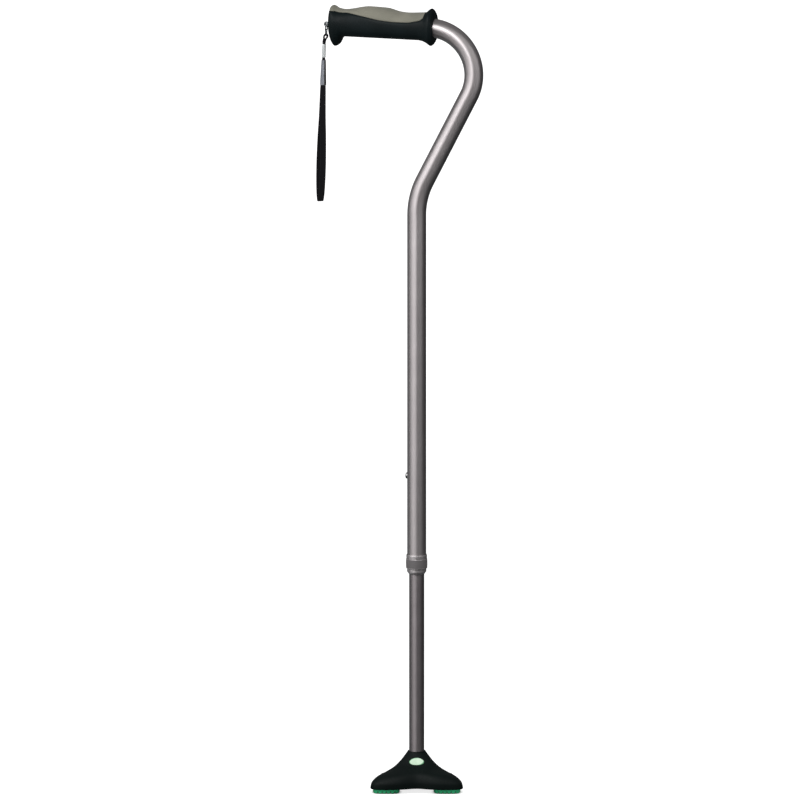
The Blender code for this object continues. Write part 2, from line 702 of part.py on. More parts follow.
def make_collar_sleeve(plastic):
    """Fixed part of the collar: a cup round the tube's end, a spigot inside it and a threaded nose."""
    seat = COLLAR_BOTTOM + NUT_HEIGHT + COLLAR_STEP - 2 * GAP
    shoulder = COLLAR_BOTTOM + NUT_HEIGHT + GAP
    top = COLLAR_BOTTOM + SLEEVE_TOP
    nose = COLLAR_BOTTOM + THREAD_FOOT
    bore = LOWER_RADIUS + GUIDE_GAP
    spigot = TUBE_RADIUS - TUBE_WALL - GUIDE_GAP
    cup = TUBE_RADIUS + GUIDE_GAP
    outline = ((bore, nose), (THREAD_RADIUS, nose), (THREAD_RADIUS, shoulder), (SLEEVE_RADIUS - GAP, shoulder),
               (SLEEVE_RADIUS, shoulder + GAP), (SLEEVE_RADIUS, top - SLEEVE_ROLL), (SLEEVE_TOP_RADIUS, top),
               (cup, top), (cup, seat), (spigot, seat), (spigot, seat + SLEEVE_SPIGOT), (bore, seat + SLEEVE_SPIGOT))
    return add_body("collar_sleeve", turned(outline, COLLAR_SIDES), plastic)


def cone_radius(height):
    """Outer radius of the squeeze ring at a height above the collar's lower end."""
    low = NUT_FLOOR + GAP
    high = THREAD_FOOT - GAP
    return CONE_BOTTOM_RADIUS + (CONE_TOP_RADIUS - CONE_BOTTOM_RADIUS) * (height - low) / (high - low)


def make_squeeze_ring(plastic):
    """Split ring with a coned outside, which the nut squeezes on to the lower tube."""
    low = NUT_FLOOR + GAP
    high = THREAD_FOOT - GAP
    bore = LOWER_RADIUS + GUIDE_GAP
    half_slit = math.asin(RING_SLIT / 2 / bore)
    rings = []
    for turn in spread(half_slit, 2 * math.pi - half_slit, COLLAR_SIDES):
        ring = []
        for radius, height in ((bore, low), (cone_radius(low), low), (cone_radius(high), high), (bore, high)):
            ring.append((radius * math.cos(turn), radius * math.sin(turn), COLLAR_BOTTOM + height))
        rings.append(ring)
    return add_body("squeeze_ring", skin(rings), plastic)


def make_collar_nut(plastic):
    """Nut of the collar: barrel to grip, narrower skirt below it, thread and cone inside."""
    outline = [(LOWER_RADIUS + GAP, 0.0), (NUT_LIP_RADIUS, GAP), (NUT_SKIRT_RADIUS - NUT_SKIRT_ROLL, NUT_SKIRT_FOOT),
               (NUT_SKIRT_RADIUS, NUT_SKIRT_FOOT + NUT_SKIRT_ROLL), (NUT_SKIRT_RADIUS, NUT_BARREL_FOOT - NUT_SKIRT_ROLL)]
    for part in spread(0.0, 1.0, 7):
        radius = NUT_BARREL_RADIUS + NUT_BARREL_BULGE * math.sin(math.pi * part)
        outline.append((radius, NUT_BARREL_FOOT + (NUT_HEIGHT - NUT_BARREL_ROLL - NUT_BARREL_FOOT) * part))
    outline += [(NUT_BARREL_RADIUS - NUT_BARREL_ROLL, NUT_HEIGHT), (THREAD_RADIUS + GAP, NUT_HEIGHT),
                (THREAD_RADIUS + GAP, THREAD_FOOT), (cone_radius(THREAD_FOOT - GAP) + GAP, THREAD_FOOT - GAP),
                (cone_radius(NUT_FLOOR) + GAP, NUT_FLOOR), (LOWER_RADIUS + GAP, NUT_FLOOR)]
    return add_body("collar_nut", turned([(radius, COLLAR_BOTTOM + height) for radius, height in outline], NUT_SIDES),
                    plastic)


def foot_reach(turn):
    """Distance from the axis to the foot's edge, at an angle from the foot's front."""
    half_width = FOOT_HALF_WIDTH + FOOT_FRONT_WIDENING * math.cos(turn)
    across = abs(math.sin(turn) / half_width) ** FOOT_SQUARENESS
    half_depth = FOOT_HALF_DEPTH + FOOT_FRONT_LENGTHENING * math.cos(turn)
    ahead = abs(math.cos(turn) / half_depth) ** FOOT_SQUARENESS
    return (across + ahead) ** (-1 / FOOT_SQUARENESS) - FOOT_WAIST * math.cos(2 * turn) ** 4


def foot_point(turn, reach, height):
    """Point at an angle from the foot's front, a distance from the axis and a height."""
    angle = FOOT_TURN - math.pi / 2 + turn
    return Vector((reach * math.cos(angle), reach * math.sin(angle), height))


def shell_edge(turn):
    """Height of the shell's lower edge, arched between the feet."""
    return SHELL_EDGE + SHELL_ARCH * math.cos(2 * turn) ** 2


def shell_point(turn, part):
    """Point of the shell's slope, part of the way from the neck to the lower edge."""
    reach = NECK_RADIUS + (foot_reach(turn) - NECK_RADIUS) * part
    low = shell_edge(turn)
    height = low + (RIM_HEIGHT - NECK_ROLL - low) * smooth_value(SHELL_SLOPE, part)
    tilt = SHELL_TILT * math.cos(turn) * math.sin(math.pi * part ** SHELL_TILT_SKEW)
    return foot_point(turn, reach, height + tilt)


def hollow_reach(turn):
    """Distance from the axis to the wall of the cross-shaped hollow between the treads."""
    place = PAD_PLACE if math.cos(turn) > 0 else BACK_PAD_PLACE
    half_width = place[0] - TREAD_SIZE[0] / 2 - POCKET_WALL
    half_depth = place[1] - TREAD_SIZE[1] / 2 - POCKET_WALL
    arm = max(half_width / max(abs(math.sin(turn)), 1e-6), half_depth / max(abs(math.cos(turn)), 1e-6))
    return min(max(arm, BOSS_RADIUS + POCKET_WALL), foot_reach(turn) - SHELL_WALL)


def slope_height(turn, reach):
    """Height of the shell's slope at a distance from the axis."""
    return shell_point(turn, (reach - NECK_RADIUS) / (foot_reach(turn) - NECK_RADIUS)).z


def underside(turn):
    """Points of the hollow below the shell, from its wall in to the axis."""
    hollow = hollow_reach(turn)
    middle = (hollow + BOSS_RADIUS) / 2
    boss_ceiling = slope_height(turn, BOSS_RADIUS) - BOSS_CEILING_DROP
    middle_ceiling = min(slope_height(turn, middle) - HOLLOW_CEILING_DROP, boss_ceiling)
    ceiling = max(slope_height(turn, hollow) - HOLLOW_CEILING_DROP, shell_edge(turn) + HOLLOW_LEAST_DEPTH)
    return [foot_point(turn, hollow, shell_edge(turn)), foot_point(turn, hollow, min(ceiling, boss_ceiling)),
            foot_point(turn, middle, middle_ceiling), foot_point(turn, BOSS_RADIUS, boss_ceiling),
            foot_point(turn, BOSS_RADIUS, BOSS_FOOT), foot_point(turn, 0, BOSS_FOOT)]


def make_foot_shell(rubber):
    """Four-footed moulding: sloping shell, socket for the tube, hollow below and pockets for the treads."""
    socket = LOWER_RADIUS + GUIDE_GAP
    rings = []
    for side in range(FOOT_SIDES):
        turn = 2 * math.pi * side / FOOT_SIDES
        ring = [foot_point(turn, 0, SOCKET_FLOOR), foot_point(turn, socket, SOCKET_FLOOR)]
        ring += [foot_point(turn, socket, RIM_HEIGHT), foot_point(turn, NECK_RADIUS - NECK_ROLL, RIM_HEIGHT)]
        ring += [shell_point(turn, part) for part, _ in SHELL_SLOPE]
        rings.append(ring + underside(turn))
    shell = add_body("foot_shell", skin(rings, loop=True), rubber)
    pockets = [tread_block(place, GAP, TREAD_HEIGHT + GAP, 0.0) for place in tread_places().values()]
    cut(shell, add_body("tread_pocket_cutters", merged(pockets)))
    return shell


def tread_places():
    """Middle of each tread, to the right and to the front of the foot's axis."""
    return {"front_left": (-PAD_PLACE[0], PAD_PLACE[1]), "front_right": PAD_PLACE,
            "back_left": (-BACK_PAD_PLACE[0], -BACK_PAD_PLACE[1]),
            "back_right": (BACK_PAD_PLACE[0], -BACK_PAD_PLACE[1])}


def foot_place(right, front, height):
    """Point at a distance to the right and to the front of the foot's axis."""
    return foot_point(math.atan2(right, front), math.hypot(right, front), height)


def tread_block(place, grow, top, bevel):
    """Rounded rectangular block on the floor, grown on every side, with a bevelled lower edge."""
    rings = []
    for height, inset in ((0.0, bevel), (max(bevel, 0.001), 0.0), (top, 0.0)):
        ring = []
        half_width = TREAD_SIZE[0] / 2 - TREAD_CORNER
        half_depth = TREAD_SIZE[1] / 2 - TREAD_CORNER
        radius = TREAD_CORNER + grow - inset
        for quarter, (sx, sy) in enumerate(((1, 1), (-1, 1), (-1, -1), (1, -1))):
            for step in range(5):
                angle = math.pi / 2 * (quarter + step / 4)
                right = place[0] + sx * half_width + radius * math.cos(angle)
                front = place[1] + sy * half_depth + radius * math.sin(angle)
                ring.append(foot_place(right, front, height))
        rings.append(ring)
    return skin(rings)


def groove_block(place, along_front, offset, start, end):
    """Bar that cuts one groove across the underside of a tread."""
    half = GROOVE_WIDTH / 2
    rings = []
    for height in (-OVERCUT, GROOVE_DEPTH):
        ring = []
        for across, along in ((-half, start), (half, start), (half, end), (-half, end)):
            right, front = (offset + across, along) if along_front else (along, offset + across)
            ring.append(foot_place(place[0] + right, place[1] + front, height))
        rings.append(ring)
    return skin(rings)


def even_offsets(count, pitch):
    """Places of evenly pitched grooves about the middle of a tread."""
    return [(index - (count - 1) / 2) * pitch for index in range(count)]


def make_tread(name, place, rubber):
    """Green tread: a block in the foot's pocket, cut by crossing grooves to rows of lugs that stand staggered."""
    tread = add_body("tread_pad_" + name, tread_block(place, 0.0, TREAD_HEIGHT, TREAD_BEVEL), rubber)
    reach = max(TREAD_SIZE) / 2 + OVERCUT
    between_rows = even_offsets(LUG_ROWS - 1, LUG_ROW_PITCH)
    row_ends = [-reach, *between_rows, reach]
    lengthwise = []
    for row in range(LUG_ROWS):
        for offset in even_offsets(4 + row % 2, GROOVE_PITCH):
            lengthwise.append(groove_block(place, True, offset, row_ends[row], row_ends[row + 1]))
    crosswise = [groove_block(place, False, offset, -reach, reach) for offset in between_rows]
    cut(tread, add_body("lengthwise_grooves_" + name, merged(lengthwise)))
    cut(tread, add_body("crosswise_grooves_" + name, merged(crosswise)))
    return tread


def make_socket_washer(steel):
    """Steel washer under the tube's end in the socket."""
    low = SOCKET_FLOOR + GAP
    outline = ((WASHER_HOLE_RADIUS, low), (LOWER_RADIUS, low), (LOWER_RADIUS, low + WASHER_THICKNESS),
               (WASHER_HOLE_RADIUS, low + WASHER_THICKNESS))
    return add_body("socket_washer", turned(outline, TUBE_SIDES), steel)


def badge_point(sideways, upward, lift):
    """Point on the front slope near the badge, lifted off the shell."""
    slope_length = (shell_point(0.0, BADGE_SLOPE + 0.05) - shell_point(0.0, BADGE_SLOPE - 0.05)).length / 0.1
    part = BADGE_SLOPE - upward / slope_length
    middle = shell_point(0.0, part)
    turn = math.asin(sideways / math.hypot(middle.x, middle.y))
    place = shell_point(turn, part)
    across = shell_point(turn + 0.02, part) - shell_point(turn - 0.02, part)
    down = shell_point(turn, part + 0.02) - shell_point(turn, part - 0.02)
    outward = across.cross(down).normalized()
    if outward.z < 0:
        outward.negate()
    return place + lift * outward


def make_foot_badge(enamel):
    """Bare oval badge that follows the front slope."""
    rings = []
    for lift, share in ((GAP, 0.0), (GAP, 0.55), (GAP, 1.0), (GAP + 0.6 * BADGE_THICKNESS, 1.0),
                        (GAP + BADGE_THICKNESS, 0.93), (GAP + BADGE_THICKNESS, 0.55), (GAP + BADGE_THICKNESS, 0.0)):
        ring = []
        for side in range(BADGE_SIDES):
            angle = 2 * math.pi * side / BADGE_SIDES
            sideways = share * BADGE_HALF_WIDTH * math.cos(angle)
            ring.append(badge_point(sideways, share * BADGE_HALF_HEIGHT * math.sin(angle), lift))
        rings.append(ring)
    columns = [[ring[side] for ring in rings] for side in range(BADGE_SIDES)]
    body = bmesh.new()
    rows = [[body.verts.new(point) for point in column] for column in columns]
    for side, row in enumerate(rows):
        following = rows[(side + 1) % BADGE_SIDES]
        for index in range(len(row) - 1):
            body.faces.new((row[index], row[index + 1], following[index + 1], following[index]))
    return add_body("foot_badge", body, enamel)


def build():
    """Make every piece of the cane."""
    for thing in list(bpy.data.objects):
        bpy.data.objects.remove(thing)
    tube_metal = make_material("tube_metal", (112, 107, 105), 0.34, 0.85)
    black_rubber = make_material("black_rubber", (22, 28, 28), 0.55)
    grip_rubber = make_material("grip_rubber", (24, 30, 31), 0.45)
    cushion = make_material("pad_cushion", (128, 126, 116), 0.75)
    collar_plastic = make_material("collar_plastic", (106, 103, 101), 0.45)
    inner_plastic = make_material("inner_plastic", (60, 60, 62), 0.5)
    chrome = make_material("button_chrome", (205, 205, 205), 0.12, 1.0)
    spring_steel = make_material("spring_steel", (150, 150, 152), 0.3, 1.0)
    strap_steel = make_material("strap_steel", (170, 174, 176), 0.28, 1.0)
    link_steel = make_material("link_steel", (108, 112, 112), 0.30, 1.0)
    black_cord = make_material("strap_cord_black", (16, 15, 18), 0.7)
    webbing = make_material("webbing_black", (17, 17, 19), 0.8)
    tape = make_material("reflective_grey", (126, 128, 134), 0.4)
    green = make_material("tread_green", (30, 165, 105), 0.6)
    enamel = make_material("badge_pale_green", (222, 248, 222), 0.25)

    make_upper_tube(tube_metal)
    make_tube_end_plug(inner_plastic)
    make_grip_body(grip_rubber)
    make_grip_pad(cushion)
    make_strap_eye(link_steel)
    make_collar_sleeve(collar_plastic)
    make_squeeze_ring(inner_plastic)
    make_collar_nut(collar_plastic)
    make_lower_tube(tube_metal)
    make_guide_plug(inner_plastic)
    make_snap_spring(spring_steel)
    make_snap_button(chrome)
    upper_link, lower_link, _ = link_drops()
    make_link("chain_link_upper", upper_link, LINK_TURN, link_steel)
    make_link("chain_link_lower", lower_link, 2 * LINK_TURN, link_steel)
    make_strap_cord(black_cord)
    make_strap_ferrule(strap_steel)
    make_reflective_tape(tape)
    make_wrist_strap(webbing)
    make_foot_shell(black_rubber)
    make_foot_badge(enamel)
    make_socket_washer(spring_steel)
    for name, place in tread_places().items():
        make_tread(name, place, green)


build()
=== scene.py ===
"""Looks of the offset quad cane: finishes, fine soft pieces, lights, floor and camera.

Metres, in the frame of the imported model: +Z up, origin on the floor at the axis of the tubes.
"""

import bisect
import json
from math import asin, atan2, ceil, copysign, cos, hypot, pi, radians, sin, sqrt

import bmesh
import bpy
from mathutils import Matrix, Vector

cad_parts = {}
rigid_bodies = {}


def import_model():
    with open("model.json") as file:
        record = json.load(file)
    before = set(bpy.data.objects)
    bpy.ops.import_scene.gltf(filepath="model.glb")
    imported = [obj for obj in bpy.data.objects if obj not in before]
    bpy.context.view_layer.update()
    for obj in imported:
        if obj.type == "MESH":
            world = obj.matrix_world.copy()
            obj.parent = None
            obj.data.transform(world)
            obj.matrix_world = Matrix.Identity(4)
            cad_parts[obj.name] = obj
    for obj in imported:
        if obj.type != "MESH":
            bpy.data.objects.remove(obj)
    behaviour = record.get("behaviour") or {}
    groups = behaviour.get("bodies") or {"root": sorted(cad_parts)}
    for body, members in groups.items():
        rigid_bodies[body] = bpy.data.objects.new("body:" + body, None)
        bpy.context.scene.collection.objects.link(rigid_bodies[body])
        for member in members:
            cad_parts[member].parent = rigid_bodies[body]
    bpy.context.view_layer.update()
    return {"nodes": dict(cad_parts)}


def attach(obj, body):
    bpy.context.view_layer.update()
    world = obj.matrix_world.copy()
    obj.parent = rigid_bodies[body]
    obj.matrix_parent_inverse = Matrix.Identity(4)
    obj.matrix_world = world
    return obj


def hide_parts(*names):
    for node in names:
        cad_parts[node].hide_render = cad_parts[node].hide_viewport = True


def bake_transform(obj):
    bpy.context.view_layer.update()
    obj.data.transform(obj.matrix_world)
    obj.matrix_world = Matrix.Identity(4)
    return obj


QUARTER_TURN = pi / 2
FULL_TURN = 2 * pi

# Camera: the photograph's viewing angle, scale and framing
VIEW_YAW = radians(18)
VIEW_ELEVATION = radians(10.2)
CAMERA_SIDE = VIEW_YAW - QUARTER_TURN
METRES_PER_PIXEL = 0.0011848
IMAGE_SIDE = 800
AXIS_COLUMN = 416.7
FLOOR_ROW = 787.5
LENS = 1500.0
SENSOR = 36.0
CLIP_END = 200.0
TRUE_SCALE_HEIGHT = 0.46

# Surroundings and floor
WORLD_LEVEL = 0.40
FLOOR_SHADE = 0.60
FLOOR_LOW = -0.0004
FLOOR_REACH = 12.0
FLOOR_GLOW = (0.80, 1.05)
FLOOR_GLOW_REACH = (0.8, 3.0)
# The floor's glow dims where the cane closes over it, within this reach: a painted contact shadow
CONTACT_SHADOW_REACH = 0.004
CONTACT_SHADOW_SAMPLES = 8

# Levels that glossy surfaces see round about as (bearing, level), then higher up; bearings are in degrees
# to the right of the camera's side, seen from above
GLOSS_RING = ((-180, 0.13), (-150, 0.17), (-120, 0.18), (-95, 0.09), (-70, 0.0), (25, 0.0), (50, 0.06),
              (80, 0.05), (120, 0.02), (180, 0.13))
GLOSS_RING_TOP = radians(20)
GLOSS_SKY_LEVEL = 0.22
GLOSS_FLOOR_TINT = (0.88, 1.0, 1.02, 1.0)

# Softboxes as (name, bearing, height, distance, size, power)
SOFTBOXES = (
    ("key_softbox", -44, 1.75, 1.14, (0.88, 0.50), 8.0),
    ("front_softbox", -17, 1.25, 0.75, (0.30, 0.45), 3.3),
    ("left_softbox", -64, 1.08, 1.20, (1.60, 0.45), 5.1),
    ("right_softbox", 41, 1.11, 0.75, (0.93, 0.45), 1.9),
    ("low_softbox", -51, 0.35, 0.75, (0.68, 0.45), 0.7),
)
SOFTBOX_AIM = 0.60

# Shapes in general, and how finely their curves and round sections are drawn
MERGE_REACH = 1e-7
CREASE = radians(40)
GAP = 0.0003
TINY_CURVE = 6
SMALL_CURVE = 7
CURVE = 9
WIDE_CURVE = 17
LONG_CURVE = 25
STITCH_SIDES = 8
WIRE_SIDES = 16
EYE_WIRE_SIDES = 20
SHANK_SIDES = 24
RING_SIDES = 40

# Tubes
TUBE_RADIUS = 0.0113
TUBE_WALL = 0.0012
HANDLE_HEIGHT = 0.9145
HANDLE_START = -0.0920
TOP_BEND_START = 0.0170
TOP_BEND_RADIUS = 0.0540
TOP_BEND_POINTS = 60
TUBE_LEAN = radians(27.5)
LOWER_BEND_RADIUS = 0.090
LOWER_BEND_POINTS = 20
UPPER_TUBE_END = 0.2782
TUBE_STEP = 0.0030
TUBE_SIDES = 96
HOLE_PITCH = 0.0254
HOLES_ABOVE = 8
HOLES_BELOW = 1
BUTTON_HEIGHT = 0.3750
HOLE_RADIUS = 0.0041
HOLE_OVERCUT = 0.002
HOLE_SIDES = 32
LOWER_RADIUS = 0.0090
LOWER_WALL = 0.0012
LOWER_ENDS = (0.0118, 0.4070)

# Spring that carries the snap button
SPRING_WIDTH = 0.0070
SPRING_THICKNESS = 0.0006
SPRING_TOP_RISE = 0.0080
SPRING_LEG_DROP = 0.0090
SPRING_BEND_DROP = 0.0400
SPRING_BEND_RADIUS = 0.0025
SPRING_BEND_START = radians(10)
SHANK_HOLE_RADIUS = 0.0021

# Grip: outlines as (place along X, distance from the tube's axis)
GRIP_TOP = ((-0.1066, 0.0150), (-0.1058, 0.0200), (-0.1036, 0.0212), (-0.0973, 0.0181), (-0.0900, 0.0170),
            (-0.0580, 0.0219), (-0.0370, 0.0213), (-0.0208, 0.0176), (-0.0120, 0.0168), (0.0040, 0.0177),
            (0.0116, 0.0184), (0.0183, 0.0230), (0.0217, 0.0190), (0.0231, 0.0105))
GRIP_BOTTOM = ((-0.1066, 0.0060), (-0.1060, 0.0132), (-0.1041, 0.0231), (-0.1006, 0.0275), (-0.0956, 0.0249),
               (-0.0926, 0.0187), (-0.0886, 0.0156), (0.0030, 0.0154), (0.0078, 0.0161), (0.0134, 0.0184),
               (0.0185, 0.0214), (0.0217, 0.0180), (0.0231, 0.0105))
GRIP_SIDE = ((-0.1066, 0.0110), (-0.1057, 0.0150), (-0.1036, 0.0172), (-0.1006, 0.0178), (-0.0950, 0.0166),
             (-0.0900, 0.0160), (-0.0500, 0.0162), (0.0040, 0.0160), (0.0116, 0.0165), (0.0183, 0.0180),
             (0.0217, 0.0160), (0.0231, 0.0105))
PAD_EDGE = ((-0.1080, 0.0167), (-0.0956, 0.0162), (-0.0807, 0.0149), (-0.0609, 0.0120), (-0.0410, 0.0086),
            (-0.0212, 0.0074), (-0.0080, 0.0076), (0.0020, 0.0094), (0.0076, 0.0108), (0.0116, 0.0141))
PAD_DEPTH = 0.0036
PAD_EDGE_RATIO = 0.88
GRIP_ROUNDNESS = 0.90
GRIP_STATIONS = (-0.1066, -0.1063, -0.1058, -0.1048, -0.1032, -0.1008, -0.0982, -0.0957, -0.0937, -0.0920,
                 -0.0900, -0.0870, -0.0800, -0.0720, -0.0630, -0.0540, -0.0450, -0.0360, -0.0280, -0.0205,
                 -0.0130, -0.0060, 0.0010, 0.0070, 0.0116)
FLANGE_STATIONS = (0.0116, 0.0140, 0.0162, 0.0183, 0.0200, 0.0215, 0.0225, 0.0231)
GRIP_SIDES = 96
PAD_SIDES = 44
STATION_STEPS = 4
SEAM_DEPTH = 0.0007
SEAM_REACH = 0.0018
BORE_DEPTH = 0.0100
BED_SIDE_GAP = 0.0005
BED_END_INSET = radians(4)

# Wrist strap: drops are measured from the middle of the eye
EYE_REACH = -0.1124
EYE_DROP = 0.0022
EYE_RING_RADIUS = 0.0024
EYE_WIRE_RADIUS = 0.00075
EYE_WIRE_FULLNESS = 0.0005
EYE_SHANK_RADIUS = 0.0014
EYE_SHANK_END = -0.0820
STRAP_LEAN = radians(1.45)
FACE_TURN = radians(18)
LOOP_TURN = radians(38)
LINK_WIRE_RADIUS = 0.00055
LINK_WIRE_FULLNESS = 0.0002
LINK_LENGTH = 0.0072
LINK_HALF_WIDTH = 0.00175
LINK_TURN = radians(66)
CORD_RADIUS = 0.0008
CORD_FULLNESS = 0.0003
CORD_LOOP_HALF_WIDTH = 0.0020
CORD_LOOP_WIDEST = 0.0030
CORD_LOOP_POINTS = 13
CORD_LEG_OFFSET = 0.0011
CORD_LOW_OFFSET = 0.0007
CORD_PINCH_DROP = 0.0182
CORD_END_DROP = 0.0305
CORD_SLANT = 0.0023
CORD_SLANT_END = 0.0222
UPPER_LINK_DROP = EYE_RING_RADIUS - EYE_WIRE_RADIUS - GAP - LINK_WIRE_RADIUS
LOWER_LINK_DROP = UPPER_LINK_DROP + LINK_LENGTH - 2 * LINK_WIRE_RADIUS - GAP
CORD_TOP = LOWER_LINK_DROP + LINK_LENGTH - LINK_WIRE_RADIUS - CORD_RADIUS - GAP
FERRULE_TOP = 0.0242
FERRULE_BOTTOM = 0.0402
FERRULE_HALF_WIDTH = 0.0023
FERRULE_HALF_DEPTH = 0.00185
FERRULE_WALL = 0.0003
FERRULE_ROLL = 0.0004
FERRULE_ROUNDNESS = 0.8
WEB_TOP = 0.0360
WEB_TUCK = 0.0730
WEB_TURNED = 0.1312
WEB_WIDEST = 0.1700
WEB_BOTTOM = 0.2130
WEB_THICKNESS = 0.0011
WEB_LAYER_GAP = 0.0003
WEB_HALF_DEPTH = WEB_LAYER_GAP / 2 + WEB_THICKNESS
WEB_BELLY = 0.0068
WEB_HALF_WIDTHS = ((0.0360, 0.0014), (0.0402, 0.0015), (0.0432, 0.0020), (0.0600, 0.0027), (0.0850, 0.0035),
                   (0.1000, 0.0036), (0.2130, 0.0036))
WEB_SWELL = (0.04, 0.96, 24)
WEB_FACE_POINTS = 8
WEB_FACE_SHARE = 0.7
WEB_FACE_LEVEL = 0.88
TAPE_TOP = 0.0432
TAPE_BOTTOM = 0.0732
TAPE_WALL = 0.0004
TAPE_CORNER = 0.0004
SLEEVE_GAP = 0.0002
SLEEVE_HALF_DEPTH = WEB_HALF_DEPTH + SLEEVE_GAP
STITCH_PITCH = 0.0022
STITCH_LENGTH = 0.0015
STITCH_RADIUS = 0.00016
STITCH_INSET = 0.0007
STITCH_TIP = 0.05

# Foot
FOOT_TURN = radians(18)
NECK_RADIUS = 0.0108
NECK_ROLL = 0.0006
TUBE_SOCKET = 0.0092
RIM_HEIGHT = 0.0439
SOCKET_FLOOR = 0.0100
SHELL_EDGE = 0.0047
SHELL_ARCH = 0.0006
SHELL_WALL = 0.0032
EDGE_ROLL = 0.0007
FOOT_HALF_WIDTH = 0.0501
FOOT_FRONT_WIDENING = 0.0111
FOOT_HALF_DEPTH = 0.0440
FOOT_FRONT_LENGTHENING = 0.0040
FOOT_SQUARENESS = 8.0
FOOT_WAIST = 0.0060
SHELL_SLOPE = ((0.0, 1.0), (0.04, 0.942), (0.12, 0.848), (0.20, 0.748), (0.30, 0.626), (0.42, 0.503),
               (0.54, 0.409), (0.66, 0.332), (0.76, 0.284), (0.85, 0.239), (0.92, 0.192), (0.97, 0.138),
               (0.99, 0.068), (1.0, 0.0))
SLOPE_POINTS = 64
SLOPE_CROWDING = 1.6
SHELL_TILT = 0.0061
SHELL_TILT_SKEW = 1.92
FOOT_SIDES = 180
BOSS_RADIUS = 0.0135
BOSS_FOOT = 0.0065
BOSS_CEILING_DROP = 0.0128
HOLLOW_CEILING_DROP = 0.0042
HOLLOW_LEAST_DEPTH = 0.0010
POCKET_WALL = 0.0018
PAD_PLACE = (0.0360, 0.0308)
BACK_PAD_PLACE = (0.0245, 0.0240)
TREAD_SIZE = (0.0318, 0.0270)
TREAD_CORNER = 0.0088
TREAD_HEIGHT = 0.0068

# Finishes: grain in cells for each metre, relief in metres, and how far gloss is stretched along a tube
GRAIN_MIDDLE = (0.3, 0.7)
TONE_GRAIN = 60.0
FINE_DETAIL = 4.0
METAL_ROUGHNESS = 0.56
METAL_STRETCH = 0.855
METAL_GRAIN = 900.0
METAL_RELIEF_GRAIN = 4000.0
STRETCH_TURN = 0.25
COLLAR_METAL = 0.88
COLLAR_GLOSS = 0.45
COLLAR_STRETCH = 0.75
COLLAR_GRAIN = 2500.0
COLLAR_RELIEF = 0.000001
BAND_HEIGHTS = (0.2648, 0.2757)
BAND_BLEND = 0.0006
BAND_METAL = 0.1
BAND_ROUGHNESS = 0.65
BADGE_GLOSS = 0.25
BADGE_RIM = (0.87, 0.93)
MOULDED_TONE_GRAIN = 45.0
MOULDED_GRAIN = 700.0
MOULDED_SCATTER = 0.05
WOVEN_ROUGHNESS = 0.82
WOVEN_STEP_SHARE = 0.6
# Woven colour is darker in the weave's hollows, a painted shade, with a random grain of tone mixed in
WOVEN_GRAIN = 1500.0
WOVEN_LEAST_TONE = 0.4
WOVEN_TONE = 0.7
WOVEN_SHINE = 0.1
WOVEN_SHEEN = 0.03
NET_ACROSS = 4.0
NET_PER_METRE = 900.0
NET_TONE = 0.35
NET_RELIEF = 0.00005
TAPE_GRAIN = 900.0
TAPE_ROUGHNESS = (0.42, 0.7)
TAPE_BAND = (0.64, 0.68)

# Screen colours: the two that a material drifts between, then those of its band, its rim or its net's gaps
COLLAR_COLOURS = ((204, 199, 200), (211, 206, 207), (104, 101, 102))
BADGE_COLOURS = ((208, 236, 208), (216, 242, 216), (118, 180, 136))
TAPE_COLOURS = ((88, 91, 99), (144, 147, 154), (70, 72, 78), (18, 18, 20))

# Tube metals as (name, dark, light)
TUBE_METALS = (("tube_metal", (207, 201, 202), (213, 207, 208)),
               # The inner tube's metal is the tube metal made darker: painted shade for the cane's lower part
               ("shade_painted_tube_metal", (178, 171, 173), (185, 178, 180)))

# Metals as (name, dark, light, roughness, how far it strays, relief, how metallic)
METALS = (("button_chrome", (200, 200, 202), (214, 214, 214), 0.12, 0.03, 5e-7, 1.0),
          ("spring_steel", (145, 145, 147), (156, 156, 156), 0.30, 0.04, 2e-6, 1.0),
          ("link_steel", (104, 108, 110), (122, 126, 128), 0.40, 0.04, 1e-6, 1.0),
          ("strap_steel", (224, 228, 229), (234, 238, 238), 0.36, 0.03, 5e-7, 0.65))

# Moulded materials as (name, dark, light, roughness, pebbles for each metre, relief, shine, sheen)
MOULDED = (("grip_rubber", (6, 14, 15), (10, 19, 21), 0.50, 2600.0, 1e-5, 0.12, 0.0),
           ("pad_cushion", (104, 103, 93), (118, 116, 105), 0.75, 3000.0, 3e-5, 0.2, 0.1),
           ("black_rubber", (6, 15, 14), (10, 20, 19), 0.52, 2200.0, 1e-5, 0.12, 0.0),
           ("inner_plastic", (56, 56, 58), (64, 64, 66), 0.50, 2500.0, 1e-5, 0.5, 0.0),
           ("tread_green", (30, 180, 116), (46, 202, 136), 0.58, 2200.0, 2e-5, 0.5, 0.0))

# Woven materials as (name, dark, light, threads across, threads for each metre, relief, slant across a metre)
# The dark shade falls in the weave's hollows as painted shade, the light one on the threads' crowns, with
# random grain between
WOVEN = (("strap_cord_black", (8, 7, 10), (26, 25, 29), 6.0, 900.0, 1e-4, 1.0),
         ("webbing_black", (7, 7, 9), (24, 23, 27), 9.0, 1100.0, 1.2e-4, 0.0))


def linear(level):
    """Light level of one 0-255 screen colour value."""
    part = level / 255
    return part / 12.92 if part <= 0.04045 else ((part + 0.055) / 1.055) ** 2.4


def colour(red, green, blue):
    """Shader colour from a screen colour."""
    return (linear(red), linear(green), linear(blue), 1.0)


def spread(first, last, count):
    """Evenly spaced values from first to last."""
    return [first + (last - first) * index / (count - 1) for index in range(count)]


def finer(stations):
    """The grip's stations with evenly spaced ones put between them."""
    result = [stations[0]]
    for start, end in zip(stations, stations[1:]):
        result += spread(start, end, STATION_STEPS + 1)[1:]
    return result


def mix(first, last, part):
    """Value part of the way from first to last."""
    return first + (last - first) * part


def eased(part):
    """Part of a way that starts and ends gently."""
    return part * part * (3 - 2 * part)


